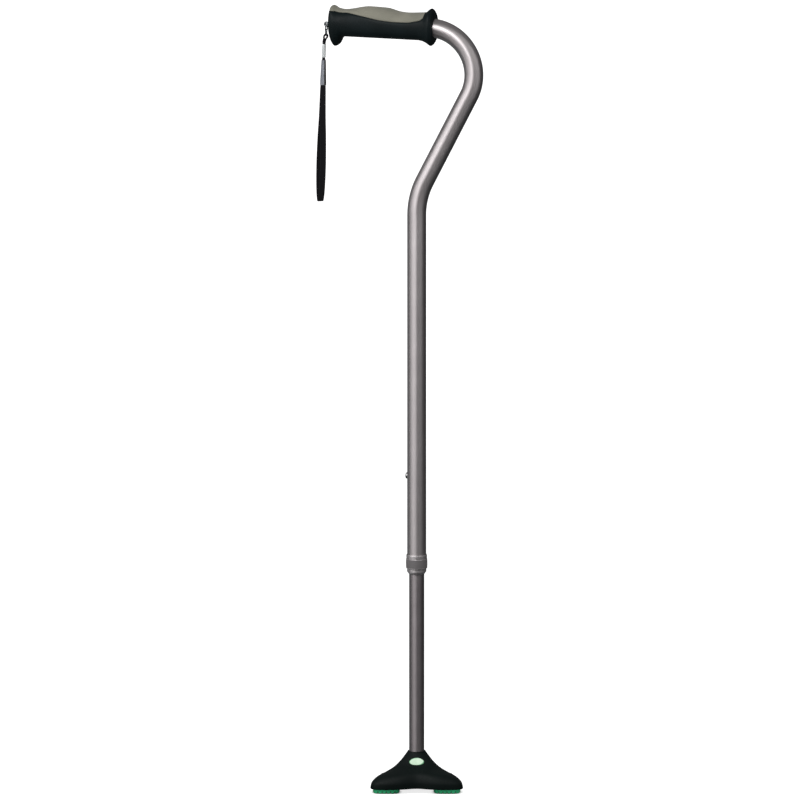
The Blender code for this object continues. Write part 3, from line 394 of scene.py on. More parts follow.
def power(value, exponent):
    """Power that keeps the sign of the value."""
    return copysign(abs(value) ** exponent, value)


def arc(start, end, count):
    """Cosine and sine of evenly spaced turns from start to end."""
    return [(cos(turn), sin(turn)) for turn in spread(start, end, count)]


def quarter(count):
    """The same for turns through a quarter of a circle."""
    return arc(0.0, QUARTER_TURN, count)


def circle(sides):
    """The same for turns round a whole circle."""
    return arc(0.0, FULL_TURN, sides + 1)[:-1]


def smooth_value(points, place):
    """Value at a place on a smooth curve through (place, value) points, without overshoot."""
    places, values = zip(*points)
    if place <= places[0]:
        return values[0]
    if place >= places[-1]:
        return values[-1]
    steps = [b - a for a, b in zip(places, places[1:])]
    slopes = [(b - a) / step for a, b, step in zip(values, values[1:], steps)]
    tangents = [slopes[0]]
    for before, after in zip(slopes, slopes[1:]):
        tangents.append(2 * before * after / (before + after) if before * after > 0 else 0.0)
    tangents.append(slopes[-1])
    first = bisect.bisect_right(places, place) - 1
    step = steps[first]
    part = (place - places[first]) / step
    bend = part * (1 - part) * step * ((1 - part) * tangents[first] - part * tangents[first + 1])
    return eased(1 - part) * values[first] + eased(part) * values[first + 1] + bend


# Shapes

def skin(rings, loop=False, around=None, along=None):
    """Surface that joins each ring of points to the next; around and along are its texture coordinates."""
    body = bmesh.new()
    layer = body.loops.layers.uv.new("threads") if around else None
    rows = [[body.verts.new(point) for point in ring] for ring in rings]
    count = len(rows[0])
    for index in range(len(rows) if loop else len(rows) - 1):
        row = rows[index]
        following = rows[(index + 1) % len(rows)]
        for side in range(count):
            after = (side + 1) % count
            face = body.faces.new((row[side], row[after], following[after], following[side]))
            if layer:
                corners = ((side, index), (side + 1, index), (side + 1, index + 1), (side, index + 1))
                for corner, (across, down) in zip(face.loops, corners):
                    corner[layer].uv = (around[across], along[down])
    if not loop:
        body.faces.new(rows[0])
        body.faces.new(rows[-1])
    return body


def mesh_from(name, body):
    """Mesh made from a body, which is used up."""
    mesh = bpy.data.meshes.new(name)
    body.to_mesh(mesh)
    body.free()
    return mesh


def placed(name, data):
    """New object in the scene."""
    made = bpy.data.objects.new(name, data)
    bpy.context.scene.collection.objects.link(made)
    return made


def add_piece(name, body, ridden, material, *nodes):
    """Scene object from a body, which rides on a CAD body unless it is None and stands for CAD nodes."""
    bmesh.ops.remove_doubles(body, verts=body.verts, dist=MERGE_REACH)
    bmesh.ops.recalc_face_normals(body, faces=body.faces)
    mesh = mesh_from(name, body)
    mesh.shade_smooth()
    mesh.set_sharp_from_angle(angle=CREASE)
    mesh.materials.append(material)
    piece = placed(name, mesh)
    if ridden:
        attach(piece, ridden)
    if nodes:
        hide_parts(*nodes)
    return piece


def merged(bodies):
    """One body from several that stand clear of each other."""
    whole = bmesh.new()
    for body in bodies:
        mesh = mesh_from("loose", body)
        whole.from_mesh(mesh)
        bpy.data.meshes.remove(mesh)
    return whole


def cut_out(piece, name, bodies):
    """Take closed bodies out of a piece, with a hidden cutter that moves with it."""
    cutters = merged(bodies)
    bmesh.ops.recalc_face_normals(cutters, faces=cutters.faces)
    cutter = placed(name, mesh_from(name, cutters))
    cutter.hide_render = True
    cutter.display_type = "WIRE"
    cutter.parent = piece
    cutter.matrix_parent_inverse = piece.matrix_world.inverted()
    difference = piece.modifiers.new(name, "BOOLEAN")
    difference.operation = "DIFFERENCE"
    difference.solver = "EXACT"
    difference.object = cutter


def rod(ends, height, radius, sides):
    """Round rod along X between two places, at a height."""
    ring = [(radius * cosine, height + radius * sine) for cosine, sine in circle(sides)]
    return skin([[(x, *point) for point in ring] for x in ends])


def rounded_section(half_width, half_depth, radius, count):
    """Points round a block of half sizes that is grown by a radius, which rounds its corners."""
    section = []
    for number, (right, front) in enumerate(((1, 1), (-1, 1), (-1, -1), (1, -1))):
        for cosine, sine in arc(QUARTER_TURN * number, QUARTER_TURN * (number + 1), count):
            section.append((right * half_width + radius * cosine, front * half_depth + radius * sine))
    return section


def both_sides(side):
    """Closed line from one side, as (place, distance from the middle), and its mirror image."""
    return side + [(place, -distance) for place, distance in side[-2:0:-1]]


def wire_loop(middles, radius, sides, threads=False):
    """Round wire along a closed line of points that lies nearly in one plane."""
    count = len(middles)
    flat = (middles[count // 3] - middles[0]).cross(middles[2 * count // 3] - middles[0]).normalized()
    rings = []
    travelled = [0.0]
    for index, place in enumerate(middles):
        following = middles[(index + 1) % count]
        travelled.append(travelled[-1] + (following - place).length)
        across = (following - middles[index - 1]).normalized().cross(flat)
        rings.append([place + radius * (cosine * across + sine * flat) for cosine, sine in circle(sides)])
    return skin(rings, True, spread(0.0, 1.0, sides + 1) if threads else None, travelled)


# Tubes and the spring in them

def tube_path():
    """Points and directions along the axis of the upper tube, from the grip down to the collar."""
    path = [(Vector((HANDLE_START, 0, HANDLE_HEIGHT)), Vector((1, 0, 0)))]
    centre = Vector((TOP_BEND_START, 0, HANDLE_HEIGHT - TOP_BEND_RADIUS))
    for cosine, sine in arc(QUARTER_TURN, -TUBE_LEAN, TOP_BEND_POINTS):
        path.append((centre + TOP_BEND_RADIUS * Vector((cosine, 0, sine)), Vector((sine, 0, -cosine))))
    lean_start = path[-1][0]
    run = (lean_start.x - LOWER_BEND_RADIUS * (1 - cos(TUBE_LEAN))) / sin(TUBE_LEAN)
    lower_end = lean_start.z - run * cos(TUBE_LEAN) - LOWER_BEND_RADIUS * sin(TUBE_LEAN)
    for cosine, sine in arc(TUBE_LEAN, 0.0, LOWER_BEND_POINTS):
        place = Vector((LOWER_BEND_RADIUS * (1 - cosine), 0, lower_end + LOWER_BEND_RADIUS * sine))
        path.append((place, Vector((-sine, 0, -cosine))))
    path.append((Vector((0, 0, UPPER_TUBE_END)), Vector((0, 0, -1))))
    return path


def tube_ring(place, along, radius):
    """Ring of points round a place, square to a direction in the X-Z plane."""
    across = Vector((along.z, 0, -along.x))
    beside = Vector((0, 1, 0))
    return [place + radius * (cosine * across + sine * beside) for cosine, sine in circle(TUBE_SIDES)]


def pipe(path, radius, wall):
    """Hollow round sweep along a path in the X-Z plane, with texture coordinates in metres along it."""
    close = [path[0]]
    for (start, direction), (end, end_direction) in zip(path, path[1:]):
        steps = ceil((end - start).length / TUBE_STEP)
        close += [(start.lerp(end, part), direction) for part in spread(0.0, 1.0, steps + 1)[1:-1]]
        close.append((end, end_direction))
    travelled = [0.0]
    for (start, _), (end, _) in zip(close, close[1:]):
        travelled.append(travelled[-1] + (end - start).length)
    outside = [tube_ring(place, along, radius) for place, along in close]
    inside = [tube_ring(place, along, radius - wall) for place, along in close[::-1]]
    around = spread(0.0, 1.0, TUBE_SIDES + 1)
    return skin(outside + inside, True, around, travelled + travelled[::-1] + [0.0])


def hole_rod(height, radius=HOLE_RADIUS):
    """Rod that cuts one hole into whatever lies on the -X side of the axis."""
    return rod((-TUBE_RADIUS - HOLE_OVERCUT, 0.0), height, radius, HOLE_SIDES)


def make_upper_tube(metal):
    """Bent tube with its row of button holes."""
    tube = add_piece("bent_tube", pipe(tube_path(), TUBE_RADIUS, TUBE_WALL), "upper", metal, "upper_tube")
    numbers = range(-HOLES_BELOW, HOLES_ABOVE + 1)
    cut_out(tube, "button_holes", [hole_rod(BUTTON_HEIGHT + number * HOLE_PITCH) for number in numbers])


def make_lower_tube(metal):
    """Straight tube that slides in the bent one, with one hole for the button."""
    path = [(Vector((0, 0, height)), Vector((0, 0, -1))) for height in LOWER_ENDS[::-1]]
    tube = add_piece("straight_tube", pipe(path, LOWER_RADIUS, LOWER_WALL), "base", metal, "lower_tube")
    cut_out(tube, "lower_button_hole", [hole_rod(BUTTON_HEIGHT)])


def spring_line(leg):
    """Points along the middle of the spring's V, from the pierced leg's top to the other's."""
    low = BUTTON_HEIGHT - SPRING_BEND_DROP
    bend = [Vector((SPRING_BEND_RADIUS * cosine, 0, low + SPRING_BEND_RADIUS * (1 - sine)))
            for cosine, sine in arc(SPRING_BEND_START, QUARTER_TURN, CURVE)]
    top = Vector((leg, 0, BUTTON_HEIGHT + SPRING_TOP_RISE))
    knee = Vector((leg, 0, BUTTON_HEIGHT - SPRING_LEG_DROP))
    slope = [knee.lerp(bend[0], part) for part in spread(0.0, 1.0, CURVE)[1:-1]]
    side = [top, knee] + slope + bend
    return [Vector((-place.x, 0, place.z)) for place in side] + side[-2::-1]


def make_leaf_spring(steel):
    """Leaf spring bent to a V inside the lower tube; its pierced leg gives way as the button goes in."""
    wall = LOWER_RADIUS - LOWER_WALL
    leg = sqrt(wall * wall - (SPRING_WIDTH / 2) ** 2) - GAP - SPRING_THICKNESS / 2
    middle = spring_line(leg)
    side = Vector((0, SPRING_WIDTH / 2, 0))
    rings = []
    for index, place in enumerate(middle):
        along = (middle[min(index + 1, len(middle) - 1)] - middle[max(index - 1, 0)]).normalized()
        out = Vector((along.z, 0, -along.x)) * SPRING_THICKNESS / 2
        rings.append([place - out - side, place + out - side, place + out + side, place - out + side])
    spring = add_piece("leaf_spring", skin(rings), None, steel, "snap_spring")
    cut_out(spring, "shank_hole", [hole_rod(BUTTON_HEIGHT, SHANK_HOLE_RADIUS)])
    cut = spring.evaluated_get(bpy.context.evaluated_depsgraph_get())
    spring.data = bpy.data.meshes.new_from_object(cut)
    spring.modifiers.clear()
    for cutter in spring.children:
        bpy.data.objects.remove(cutter)
    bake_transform(spring)


# Grip

def grip_point(x, turn, depth=0.0):
    """Point of the grip's surface at a station, or of a surface a depth inside it."""
    outline = GRIP_TOP if sin(turn) > 0 else GRIP_BOTTOM
    side = (smooth_value(GRIP_SIDE, x) - depth) * power(cos(turn), GRIP_ROUNDNESS)
    height = (smooth_value(outline, x) - depth) * power(sin(turn), GRIP_ROUNDNESS)
    return (x, side, HANDLE_HEIGHT + height)


def pad_edge_turn(x):
    """Angle round the grip at which the pad's edge lies."""
    share = smooth_value(PAD_EDGE, x) / smooth_value(GRIP_TOP, x)
    return asin(min(share, PAD_EDGE_RATIO) ** (1 / GRIP_ROUNDNESS))


def seam_dip(x, turn, edge):
    """How far the surface rolls in beside the seam between the pad and the grip."""
    away = min(abs(turn - edge), abs(pi - edge - turn), abs(turn + pi + edge))
    reach = smooth_value(GRIP_SIDE, x) * away
    return SEAM_DEPTH * max(0.0, 1.0 - reach / SEAM_REACH) ** 2


def grip_ring(x, bed):
    """Section of the grip's body; in its bed the top is stepped in for the pad."""
    edge = pad_edge_turn(x) - BED_SIDE_GAP / smooth_value(GRIP_SIDE, x)
    turns = spread(edge, -pi - edge, GRIP_SIDES - PAD_SIDES)
    if bed:
        floor = [grip_point(x, turn, PAD_DEPTH + GAP) for turn in spread(pi - edge, edge, PAD_SIDES)]
        return [grip_point(x, turn, seam_dip(x, turn, edge)) for turn in turns] + floor
    turns += spread(pi - edge - BED_END_INSET, edge + BED_END_INSET, PAD_SIDES)
    return [grip_point(x, turn) for turn in turns]


def bore_ring(x, ring):
    """Ring of the grip's bore, point for point beside a section of its outside."""
    result = []
    for _, across, height in ring:
        outward = Vector((across, height - HANDLE_HEIGHT)).normalized() * (TUBE_RADIUS + 2 * GAP)
        result.append((x, outward.x, HANDLE_HEIGHT + outward.y))
    return result


def make_grip_body(rubber):
    """Black grip with flanged ends and a stepped bed for the pad."""
    rings = [grip_ring(x, True) for x in finer(GRIP_STATIONS)]
    rings += [grip_ring(x, False) for x in finer(FLANGE_STATIONS)]
    mouth = FLANGE_STATIONS[-1]
    rings.append(bore_ring(mouth, rings[-1]))
    rings.append(bore_ring(mouth - BORE_DEPTH, rings[-2]))
    add_piece("grip_moulding", skin(rings), "upper", rubber, "grip_body")


def make_grip_pad(cushion):
    """Soft pad let into the top of the grip, rolled in along its edges."""
    rings = []
    for x in finer(GRIP_STATIONS):
        edge = pad_edge_turn(x)
        turns = spread(edge, pi - edge, PAD_SIDES)
        ring = [grip_point(x, turn, seam_dip(x, turn, edge)) for turn in turns]
        rings.append(ring + [grip_point(x, turn, PAD_DEPTH) for turn in reversed(turns)])
    pad = add_piece("grip_cushion", skin(rings), "upper", cushion, "grip_pad")


# Wrist strap

def cord_slant(drop):
    """How far the slanting cord has carried the strap outward at a drop."""
    part = (drop - CORD_TOP) / (CORD_SLANT_END - CORD_TOP)
    return CORD_SLANT * eased(min(max(part, 0.0), 1.0))


def hung(drop, sideways, turn, forward=0.0):
    """Point of the strap: drop below the eye, then sideways and forward in a frame turned about the strap."""
    x = sideways * cos(turn) + forward * sin(turn) - cord_slant(drop)
    y = sideways * sin(turn) - forward * cos(turn)
    lean_x = x * cos(STRAP_LEAN) - drop * sin(STRAP_LEAN)
    lean_z = -drop * cos(STRAP_LEAN) - x * sin(STRAP_LEAN)
    return Vector((EYE_REACH + lean_x, y, HANDLE_HEIGHT - EYE_DROP + lean_z))


def make_strap_eye(steel):
    """Eye screw in the end of the grip: a thick ring on a shank."""
    centre = Vector((EYE_REACH, 0, HANDLE_HEIGHT - EYE_DROP))
    reach = EYE_RING_RADIUS - EYE_WIRE_FULLNESS
    middles = [centre + reach * Vector((cosine, 0, sine)) for cosine, sine in circle(RING_SIDES)]
    ring = wire_loop(middles, EYE_WIRE_RADIUS + EYE_WIRE_FULLNESS, EYE_WIRE_SIDES)
    shank = rod((EYE_REACH + EYE_RING_RADIUS, EYE_SHANK_END), centre.z, EYE_SHANK_RADIUS, SHANK_SIDES)
    add_piece("eye_screw", merged([ring, shank]), "upper", steel, "strap_eye")


def make_link(name, top, turn, ridden, steel, node):
    """Chain link: a wire oval that hangs from its upper end."""
    middles = []
    half_width = LINK_HALF_WIDTH - LINK_WIRE_FULLNESS
    for drop, start in ((top + LINK_HALF_WIDTH, 0.0), (top + LINK_LENGTH - LINK_HALF_WIDTH, pi)):
        for cosine, sine in arc(start, start + pi, WIDE_CURVE):
            middles.append(hung(drop - LINK_HALF_WIDTH * sine, half_width * cosine, turn))
    wire = wire_loop(middles, LINK_WIRE_RADIUS + LINK_WIRE_FULLNESS, WIRE_SIDES)
    add_piece(name, wire, ridden, steel, node)


def cord_side():
    """Half of the cord's middle line, from the top of its loop down into the ferrule."""
    side = [(CORD_TOP + CORD_LOOP_WIDEST * (1 - cosine), CORD_LOOP_HALF_WIDTH * sine)
            for cosine, sine in quarter(CORD_LOOP_POINTS)]
    widest = side[-1][0]
    for part in spread(0.0, 1.0, WIDE_CURVE)[1:]:
        width = mix(CORD_LOOP_HALF_WIDTH, CORD_LEG_OFFSET, eased(part))
        side.append((mix(widest, CORD_PINCH_DROP, part), width))
    for part in spread(0.0, 1.0, CURVE)[1:]:
        width = mix(CORD_LEG_OFFSET, CORD_LOW_OFFSET, part * part)
        side.append((mix(CORD_PINCH_DROP, FERRULE_TOP, part), width))
    low = CORD_END_DROP - CORD_LOW_OFFSET
    return side + [(low + CORD_LOW_OFFSET * sine, CORD_LOW_OFFSET * cosine)
                   for cosine, sine in quarter(CURVE)]


def make_strap_cord(black_cord):
    """Braided cord loop through the lower link, both legs running down into the ferrule."""
    middles = [hung(drop, width, FACE_TURN) for drop, width in both_sides(cord_side())]
    cord = wire_loop(middles, CORD_RADIUS + CORD_FULLNESS, WIRE_SIDES, True)
    add_piece("braided_cord", cord, "strap", black_cord, "strap_cord")


def make_strap_ferrule(steel):
    """Crimped oval sleeve with rolled ends that joins the cord to the webbing."""
    roll = [(FERRULE_ROLL * (1 - sine), FERRULE_ROLL * (1 - cosine))
            for cosine, sine in quarter(TINY_CURVE)]
    rows = [(FERRULE_TOP + inward, inset) for inward, inset in roll[::-1]]
    rows += [(drop, 0.0) for drop in spread(FERRULE_TOP, FERRULE_BOTTOM, CURVE)[1:-1]]
    rows += [(FERRULE_BOTTOM - inward, inset) for inward, inset in roll]
    rows += [(drop, FERRULE_WALL + FERRULE_ROLL) for drop in (FERRULE_BOTTOM, FERRULE_TOP)]
    oval = [(power(cosine, FERRULE_ROUNDNESS), power(sine, FERRULE_ROUNDNESS))
            for cosine, sine in circle(RING_SIDES)]
    rings = [[hung(drop, (FERRULE_HALF_WIDTH - inset) * across, FACE_TURN, (FERRULE_HALF_DEPTH - inset) * out)
              for across, out in oval] for drop, inset in rows]
    add_piece("crimped_sleeve", skin(rings, True), "strap", steel, "strap_ferrule")


def web_side():
    """Half of the webbing's middle line, as (drop, distance from the strap's middle)."""
    tight = WEB_HALF_DEPTH - WEB_THICKNESS / 2
    side = [(WEB_TOP + tight * (1 - cosine), tight * sine) for cosine, sine in quarter(SMALL_CURVE)]
    side += [(drop, tight) for drop in spread(TAPE_TOP, WEB_TUCK, CURVE)]
    for part in spread(*WEB_SWELL):
        side.append((mix(WEB_TUCK, WEB_WIDEST, part), mix(tight, WEB_BELLY, eased(part))))
    for cosine, sine in quarter(LONG_CURVE):
        side.append((mix(WEB_WIDEST, WEB_BOTTOM, sine), WEB_BELLY * cosine))
    return side


def web_section(half_width):
    """Section of the webbing as (across, out), with thick rounded edges."""
    half = WEB_THICKNESS / 2
    face = WEB_FACE_SHARE * half_width
    section = []
    for side in (1, -1):
        for cosine, sine in arc(-QUARTER_TURN, QUARTER_TURN, SMALL_CURVE):
            section.append((side * (half_width - half + half * cosine), side * half * sine))
        for across in spread(side * face, -side * face, WEB_FACE_POINTS):
            section.append((across, side * WEB_FACE_LEVEL * half))
    return section


def make_wrist_strap(webbing):
    """Wrist loop of flat woven webbing: one closed band, narrow where it enters the ferrule."""
    route = both_sides(web_side())
    rings = []
    travelled = [0.0]
    opening = ((WEB_TUCK, 0.0), (WEB_TURNED, 1.0))
    for index, (drop, apart) in enumerate(route):
        after = Vector(route[(index + 1) % len(route)])
        travelled.append(travelled[-1] + (after - Vector((drop, apart))).length)
        along = (after - Vector(route[index - 1])).normalized()
        turn = mix(FACE_TURN, LOOP_TURN, smooth_value(opening, drop))
        section = web_section(smooth_value(WEB_HALF_WIDTHS, drop))
        rings.append([hung(drop - out * along.y, across, turn, apart + out * along.x)
                      for across, out in section])
    half_width = smooth_value(WEB_HALF_WIDTHS, route[-1][0])
    around = [0.5 + across / half_width / 2 for across, _ in web_section(half_width)]
    band = skin(rings, True, around + around[:1], travelled)
    add_piece("woven_loop", band, "strap", webbing, "wrist_strap")


def tape_half_width(drop):
    """Half the inner width of the tape's sleeve."""
    return smooth_value(WEB_HALF_WIDTHS, drop) + SLEEVE_GAP


def tape_section(drop, outward):
    """Section of the tape's sleeve as (sideways, forward), a distance outward from its inner face."""
    return rounded_section(tape_half_width(drop) - TAPE_CORNER, SLEEVE_HALF_DEPTH - TAPE_CORNER,
                           TAPE_CORNER + outward, SMALL_CURVE)


def make_reflective_tape(tape):
    """Reflective tape folded round the narrow end of the webbing."""
    drops = spread(TAPE_TOP, TAPE_BOTTOM, LONG_CURVE)
    rows = [(drop, 0.0) for drop in drops[::-1]] + [(drop, TAPE_WALL) for drop in drops]
    rings = [[hung(drop, sideways, FACE_TURN, forward) for sideways, forward in tape_section(drop, outward)]
             for drop, outward in rows]
    width = 2 * (tape_half_width(TAPE_BOTTOM) + TAPE_WALL)
    around = [0.5 + sideways / width for sideways, _ in tape_section(TAPE_BOTTOM, TAPE_WALL)]
    sleeve = skin(rings, True, around + around[:1], drops[::-1] + drops + drops[-1:])
    add_piece("tape_sleeve", sleeve, "strap", tape, "reflective_tape")


def stitch(drop, sideways, level):
    """One stitch that lies down the strap, on a face of the tape at a level."""
    rings = []
    for part in spread(-1.0, 1.0, SMALL_CURVE):
        radius = STITCH_RADIUS * sqrt(max(STITCH_TIP, 1 - part ** 4))
        rings.append([hung(drop + part * STITCH_LENGTH / 2, sideways + radius * cosine, FACE_TURN,
                           level + radius * sine) for cosine, sine in circle(STITCH_SIDES)])
    return skin(rings)


def make_tape_stitches(thread):
    """Two rows of stitches down each face of the tape."""
    level = SLEEVE_HALF_DEPTH + TAPE_WALL
    count = int((TAPE_BOTTOM - TAPE_TOP) / STITCH_PITCH)
    drops = [TAPE_TOP + (number + 0.5) * STITCH_PITCH for number in range(count)]
    stitches = [stitch(drop, edge * (tape_half_width(drop) - STITCH_INSET), face * level)
                for face in (1, -1) for edge in (1, -1) for drop in drops]
    sewn = add_piece("tape_stitches", merged(stitches), "strap", thread)


# Foot

def foot_reach(turn):
    """Distance from the axis to the foot's edge, at an angle from the foot's front."""
    half_width = FOOT_HALF_WIDTH + FOOT_FRONT_WIDENING * cos(turn)
    across = abs(sin(turn) / half_width) ** FOOT_SQUARENESS
    half_depth = FOOT_HALF_DEPTH + FOOT_FRONT_LENGTHENING * cos(turn)
    ahead = abs(cos(turn) / half_depth) ** FOOT_SQUARENESS
    return (across + ahead) ** (-1 / FOOT_SQUARENESS) - FOOT_WAIST * cos(2 * turn) ** 4


def foot_point(turn, reach, height):
    """Point at an angle from the foot's front, a distance from the axis and a height."""
    angle = FOOT_TURN - QUARTER_TURN + turn
    return Vector((reach * cos(angle), reach * sin(angle), height))


def shell_edge(turn):
    """Height of the shell's lower edge, arched between the feet."""
    return SHELL_EDGE + SHELL_ARCH * cos(2 * turn) ** 2


def shell_point(turn, part):
    """Point of the shell's slope, part of the way from the neck to the lower edge."""
    reach = mix(NECK_RADIUS, foot_reach(turn), part)
    height = mix(shell_edge(turn) + EDGE_ROLL, RIM_HEIGHT - NECK_ROLL, smooth_value(SHELL_SLOPE, part))
    tilt = SHELL_TILT * cos(turn) * sin(pi * part ** SHELL_TILT_SKEW)
    return foot_point(turn, reach, height + tilt)


def slope_height(turn, reach):
    """Height of the shell's slope at a distance from the axis."""
    return shell_point(turn, (reach - NECK_RADIUS) / (foot_reach(turn) - NECK_RADIUS)).z


def hollow_reach(turn):
    """Distance from the axis to the wall of the cross-shaped hollow between the treads."""
    place = PAD_PLACE if cos(turn) > 0 else BACK_PAD_PLACE
    half_width = place[0] - TREAD_SIZE[0] / 2 - POCKET_WALL
    half_depth = place[1] - TREAD_SIZE[1] / 2 - POCKET_WALL
    arm = max(half_width / max(abs(sin(turn)), 1e-6), half_depth / max(abs(cos(turn)), 1e-6))
    return min(max(arm, BOSS_RADIUS + POCKET_WALL), foot_reach(turn) - SHELL_WALL)


def underside(turn):
    """Points of the hollow below the shell, from its wall in to the axis."""
    hollow = hollow_reach(turn)
    middle = (hollow + BOSS_RADIUS) / 2
    boss_ceiling = slope_height(turn, BOSS_RADIUS) - BOSS_CEILING_DROP
    middle_ceiling = min(slope_height(turn, middle) - HOLLOW_CEILING_DROP, boss_ceiling)
    ceiling = max(slope_height(turn, hollow) - HOLLOW_CEILING_DROP, shell_edge(turn) + HOLLOW_LEAST_DEPTH)
    outline = ((hollow, shell_edge(turn)), (hollow, min(ceiling, boss_ceiling)), (middle, middle_ceiling),
               (BOSS_RADIUS, boss_ceiling), (BOSS_RADIUS, BOSS_FOOT), (0, BOSS_FOOT))
    return [foot_point(turn, reach, height) for reach, height in outline]


def pocket(right, front):
    """Block that cuts the pocket for a tread, placed to the right and to the front of the foot's axis."""
    half_width, half_depth = (size / 2 - TREAD_CORNER for size in TREAD_SIZE)
    section = rounded_section(half_width, half_depth, TREAD_CORNER + GAP, CURVE)
    places = [(right + across, front + ahead) for across, ahead in section]
    return skin([[foot_point(atan2(x, y), hypot(x, y), height) for x, y in places]
                 for height in (0.0, TREAD_HEIGHT + GAP)])


def neck_outline():
    """Distances from the axis and heights from the socket's floor up and over the neck's rim."""
    outline = [(0, SOCKET_FLOOR), (TUBE_SOCKET, SOCKET_FLOOR), (TUBE_SOCKET, RIM_HEIGHT - NECK_ROLL / 2),
               (TUBE_SOCKET + NECK_ROLL / 4, RIM_HEIGHT - NECK_ROLL / 8),
               (TUBE_SOCKET + NECK_ROLL / 2, RIM_HEIGHT)]
    for cosine, sine in arc(QUARTER_TURN, 0.0, SMALL_CURVE)[:-1]:
        outline.append((NECK_RADIUS - NECK_ROLL * (1 - cosine), RIM_HEIGHT - NECK_ROLL * (1 - sine)))
    return outline


def make_foot_shell(rubber):
    """Four-footed moulding with a rolled lower edge, hollow below and pocketed for the treads."""
    slope = [1 - (1 - part) ** SLOPE_CROWDING for part in spread(0.0, 1.0, SLOPE_POINTS)]
    neck = neck_outline()
    rings = []
    for turn in spread(0.0, FULL_TURN, FOOT_SIDES + 1)[:-1]:
        ring = [foot_point(turn, reach, height) for reach, height in neck]
        ring += [shell_point(turn, part) for part in slope]
        for cosine, sine in quarter(TINY_CURVE)[1:]:
            inward = foot_reach(turn) - EDGE_ROLL * (1 - cosine)
            ring.append(foot_point(turn, inward, shell_edge(turn) + EDGE_ROLL * (1 - sine)))
        rings.append(ring + underside(turn))
    shell = add_piece("foot_moulding", skin(rings, True), "base", rubber, "foot_shell")
    places = ((PAD_PLACE, 1), (BACK_PAD_PLACE, -1))
    cut_out(shell, "tread_pockets", [pocket(side * place[0], front * place[1])
                                     for place, front in places for side in (-1, 1)])


# Finishes

def feed(node, name, value):
    """Give a node's input a number or a colour, or join another node's socket to it."""
    if isinstance(value, bpy.types.NodeSocket):
        node.id_data.links.new(value, node.inputs[name])
    else:
        node.inputs[name].default_value = value


def put(tree, kind, *firsts, **values):
    """New node with its first inputs; names in small letters are its settings, and the others inputs too."""
    made = tree.nodes.new("ShaderNode" + kind)
    for name, value in values.items():
        if name.islower():
            setattr(made, name, value)
        else:
            feed(made, name.replace("_", " "), value)
    for place, value in enumerate(firsts):
        feed(made, place, value)
    return made


def maths(operation, first, second=0.0):
    """Result of a calculation on two sockets, or on a socket and a number."""
    tree = next(value.id_data for value in (first, second) if isinstance(value, bpy.types.NodeSocket))
    return put(tree, "Math", first, second, operation=operation).outputs[0]


def times(first, second):
    """Product of two such values."""
    return maths("MULTIPLY", first, second)


def plus(first, second):
    """Sum of two such values."""
    return maths("ADD", first, second)


def ramped(amount, start, end, low=0.0, high=1.0):
    """Smooth step from a low to a high value as the amount runs from start to end."""
    return put(amount.id_data, "MapRange", interpolation_type="SMOOTHSTEP", Value=amount, From_Min=start,
               From_Max=end, To_Min=low, To_Max=high).outputs[0]


def between(amount, low=0.0, high=1.0):
    """Steady run from a low to a high value as the amount runs through the middle of a grain."""
    return put(amount.id_data, "MapRange", Value=amount, From_Min=GRAIN_MIDDLE[0], From_Max=GRAIN_MIDDLE[1],
               To_Min=low, To_Max=high).outputs[0]


def mixed_colour(amount, low, high):
    """Colour between two shades; either may be a socket."""
    return put(amount.id_data, "Mix", data_type="RGBA", Factor=amount, A=low, B=high).outputs["Result"]


def parts(place):
    """The X, Y and Z parts of a place."""
    return put(place.id_data, "SeparateXYZ", Vector=place).outputs


def object_place(tree):
    """Texture coordinates in metres, fixed to the object."""
    return put(tree, "TexCoord").outputs["Object"]


def grain(tree, scale, detail=2.0):
    """Noise of a fineness in cells per metre, from 0 to 1."""
    return put(tree, "TexNoise", Vector=object_place(tree), Scale=scale, Detail=detail).outputs["Fac"]


def drifting(tree, low, high, scale=TONE_GRAIN, detail=2.0):
    """Colour that drifts between two screen colours from place to place."""
    return mixed_colour(between(grain(tree, scale, detail)), colour(*low), colour(*high))


def bumped(shader, height, depth):
    """Relief of a depth in metres."""
    feed(shader, "Normal", put(shader.id_data, "Bump", Height=height, Distance=depth).outputs["Normal"])


def drawn(shader, stretch, **settings):
    """Stretch the gloss of a metal along the tube, square to the direction that runs round it."""
    feed(shader, "Tangent", put(shader.id_data, "Tangent", **settings).outputs["Tangent"])
    feed(shader, "Anisotropic", stretch)
    feed(shader, "Anisotropic Rotation", STRETCH_TURN)


def plain(name, shade, roughness, metallic=0.0):
    """Principled material of a screen colour, with its nodes and its shader."""
    material = bpy.data.materials.new(name)
    material.use_nodes = True
    shader = material.node_tree.nodes["Principled BSDF"]
    feed(shader, "Base Color", colour(*shade))
    feed(shader, "Roughness", roughness)
    feed(shader, "Metallic", metallic)
    return material, material.node_tree, shader


def tube_finish(name, low, high):
    """Drawn satin metal of the tubes with a faint drift of tone."""
    material, tree, shader = plain(name, low, METAL_ROUGHNESS, 1.0)
    feed(shader, "Base Color", drifting(tree, low, high))
    drawn(shader, METAL_STRETCH, direction_type="UV_MAP", uv_map="threads")
    return material


def metal_finish(name, low, high, roughness, scatter, relief, metallic):
    """Satin metal with a faint drift of tone and a fine grain."""
    material, tree, shader = plain(name, low, roughness, metallic)
    feed(shader, "Base Color", drifting(tree, low, high))
    feed(shader, "Roughness", between(grain(tree, METAL_GRAIN), roughness - scatter, roughness + scatter))
    bumped(shader, grain(tree, METAL_RELIEF_GRAIN), relief)
    return material


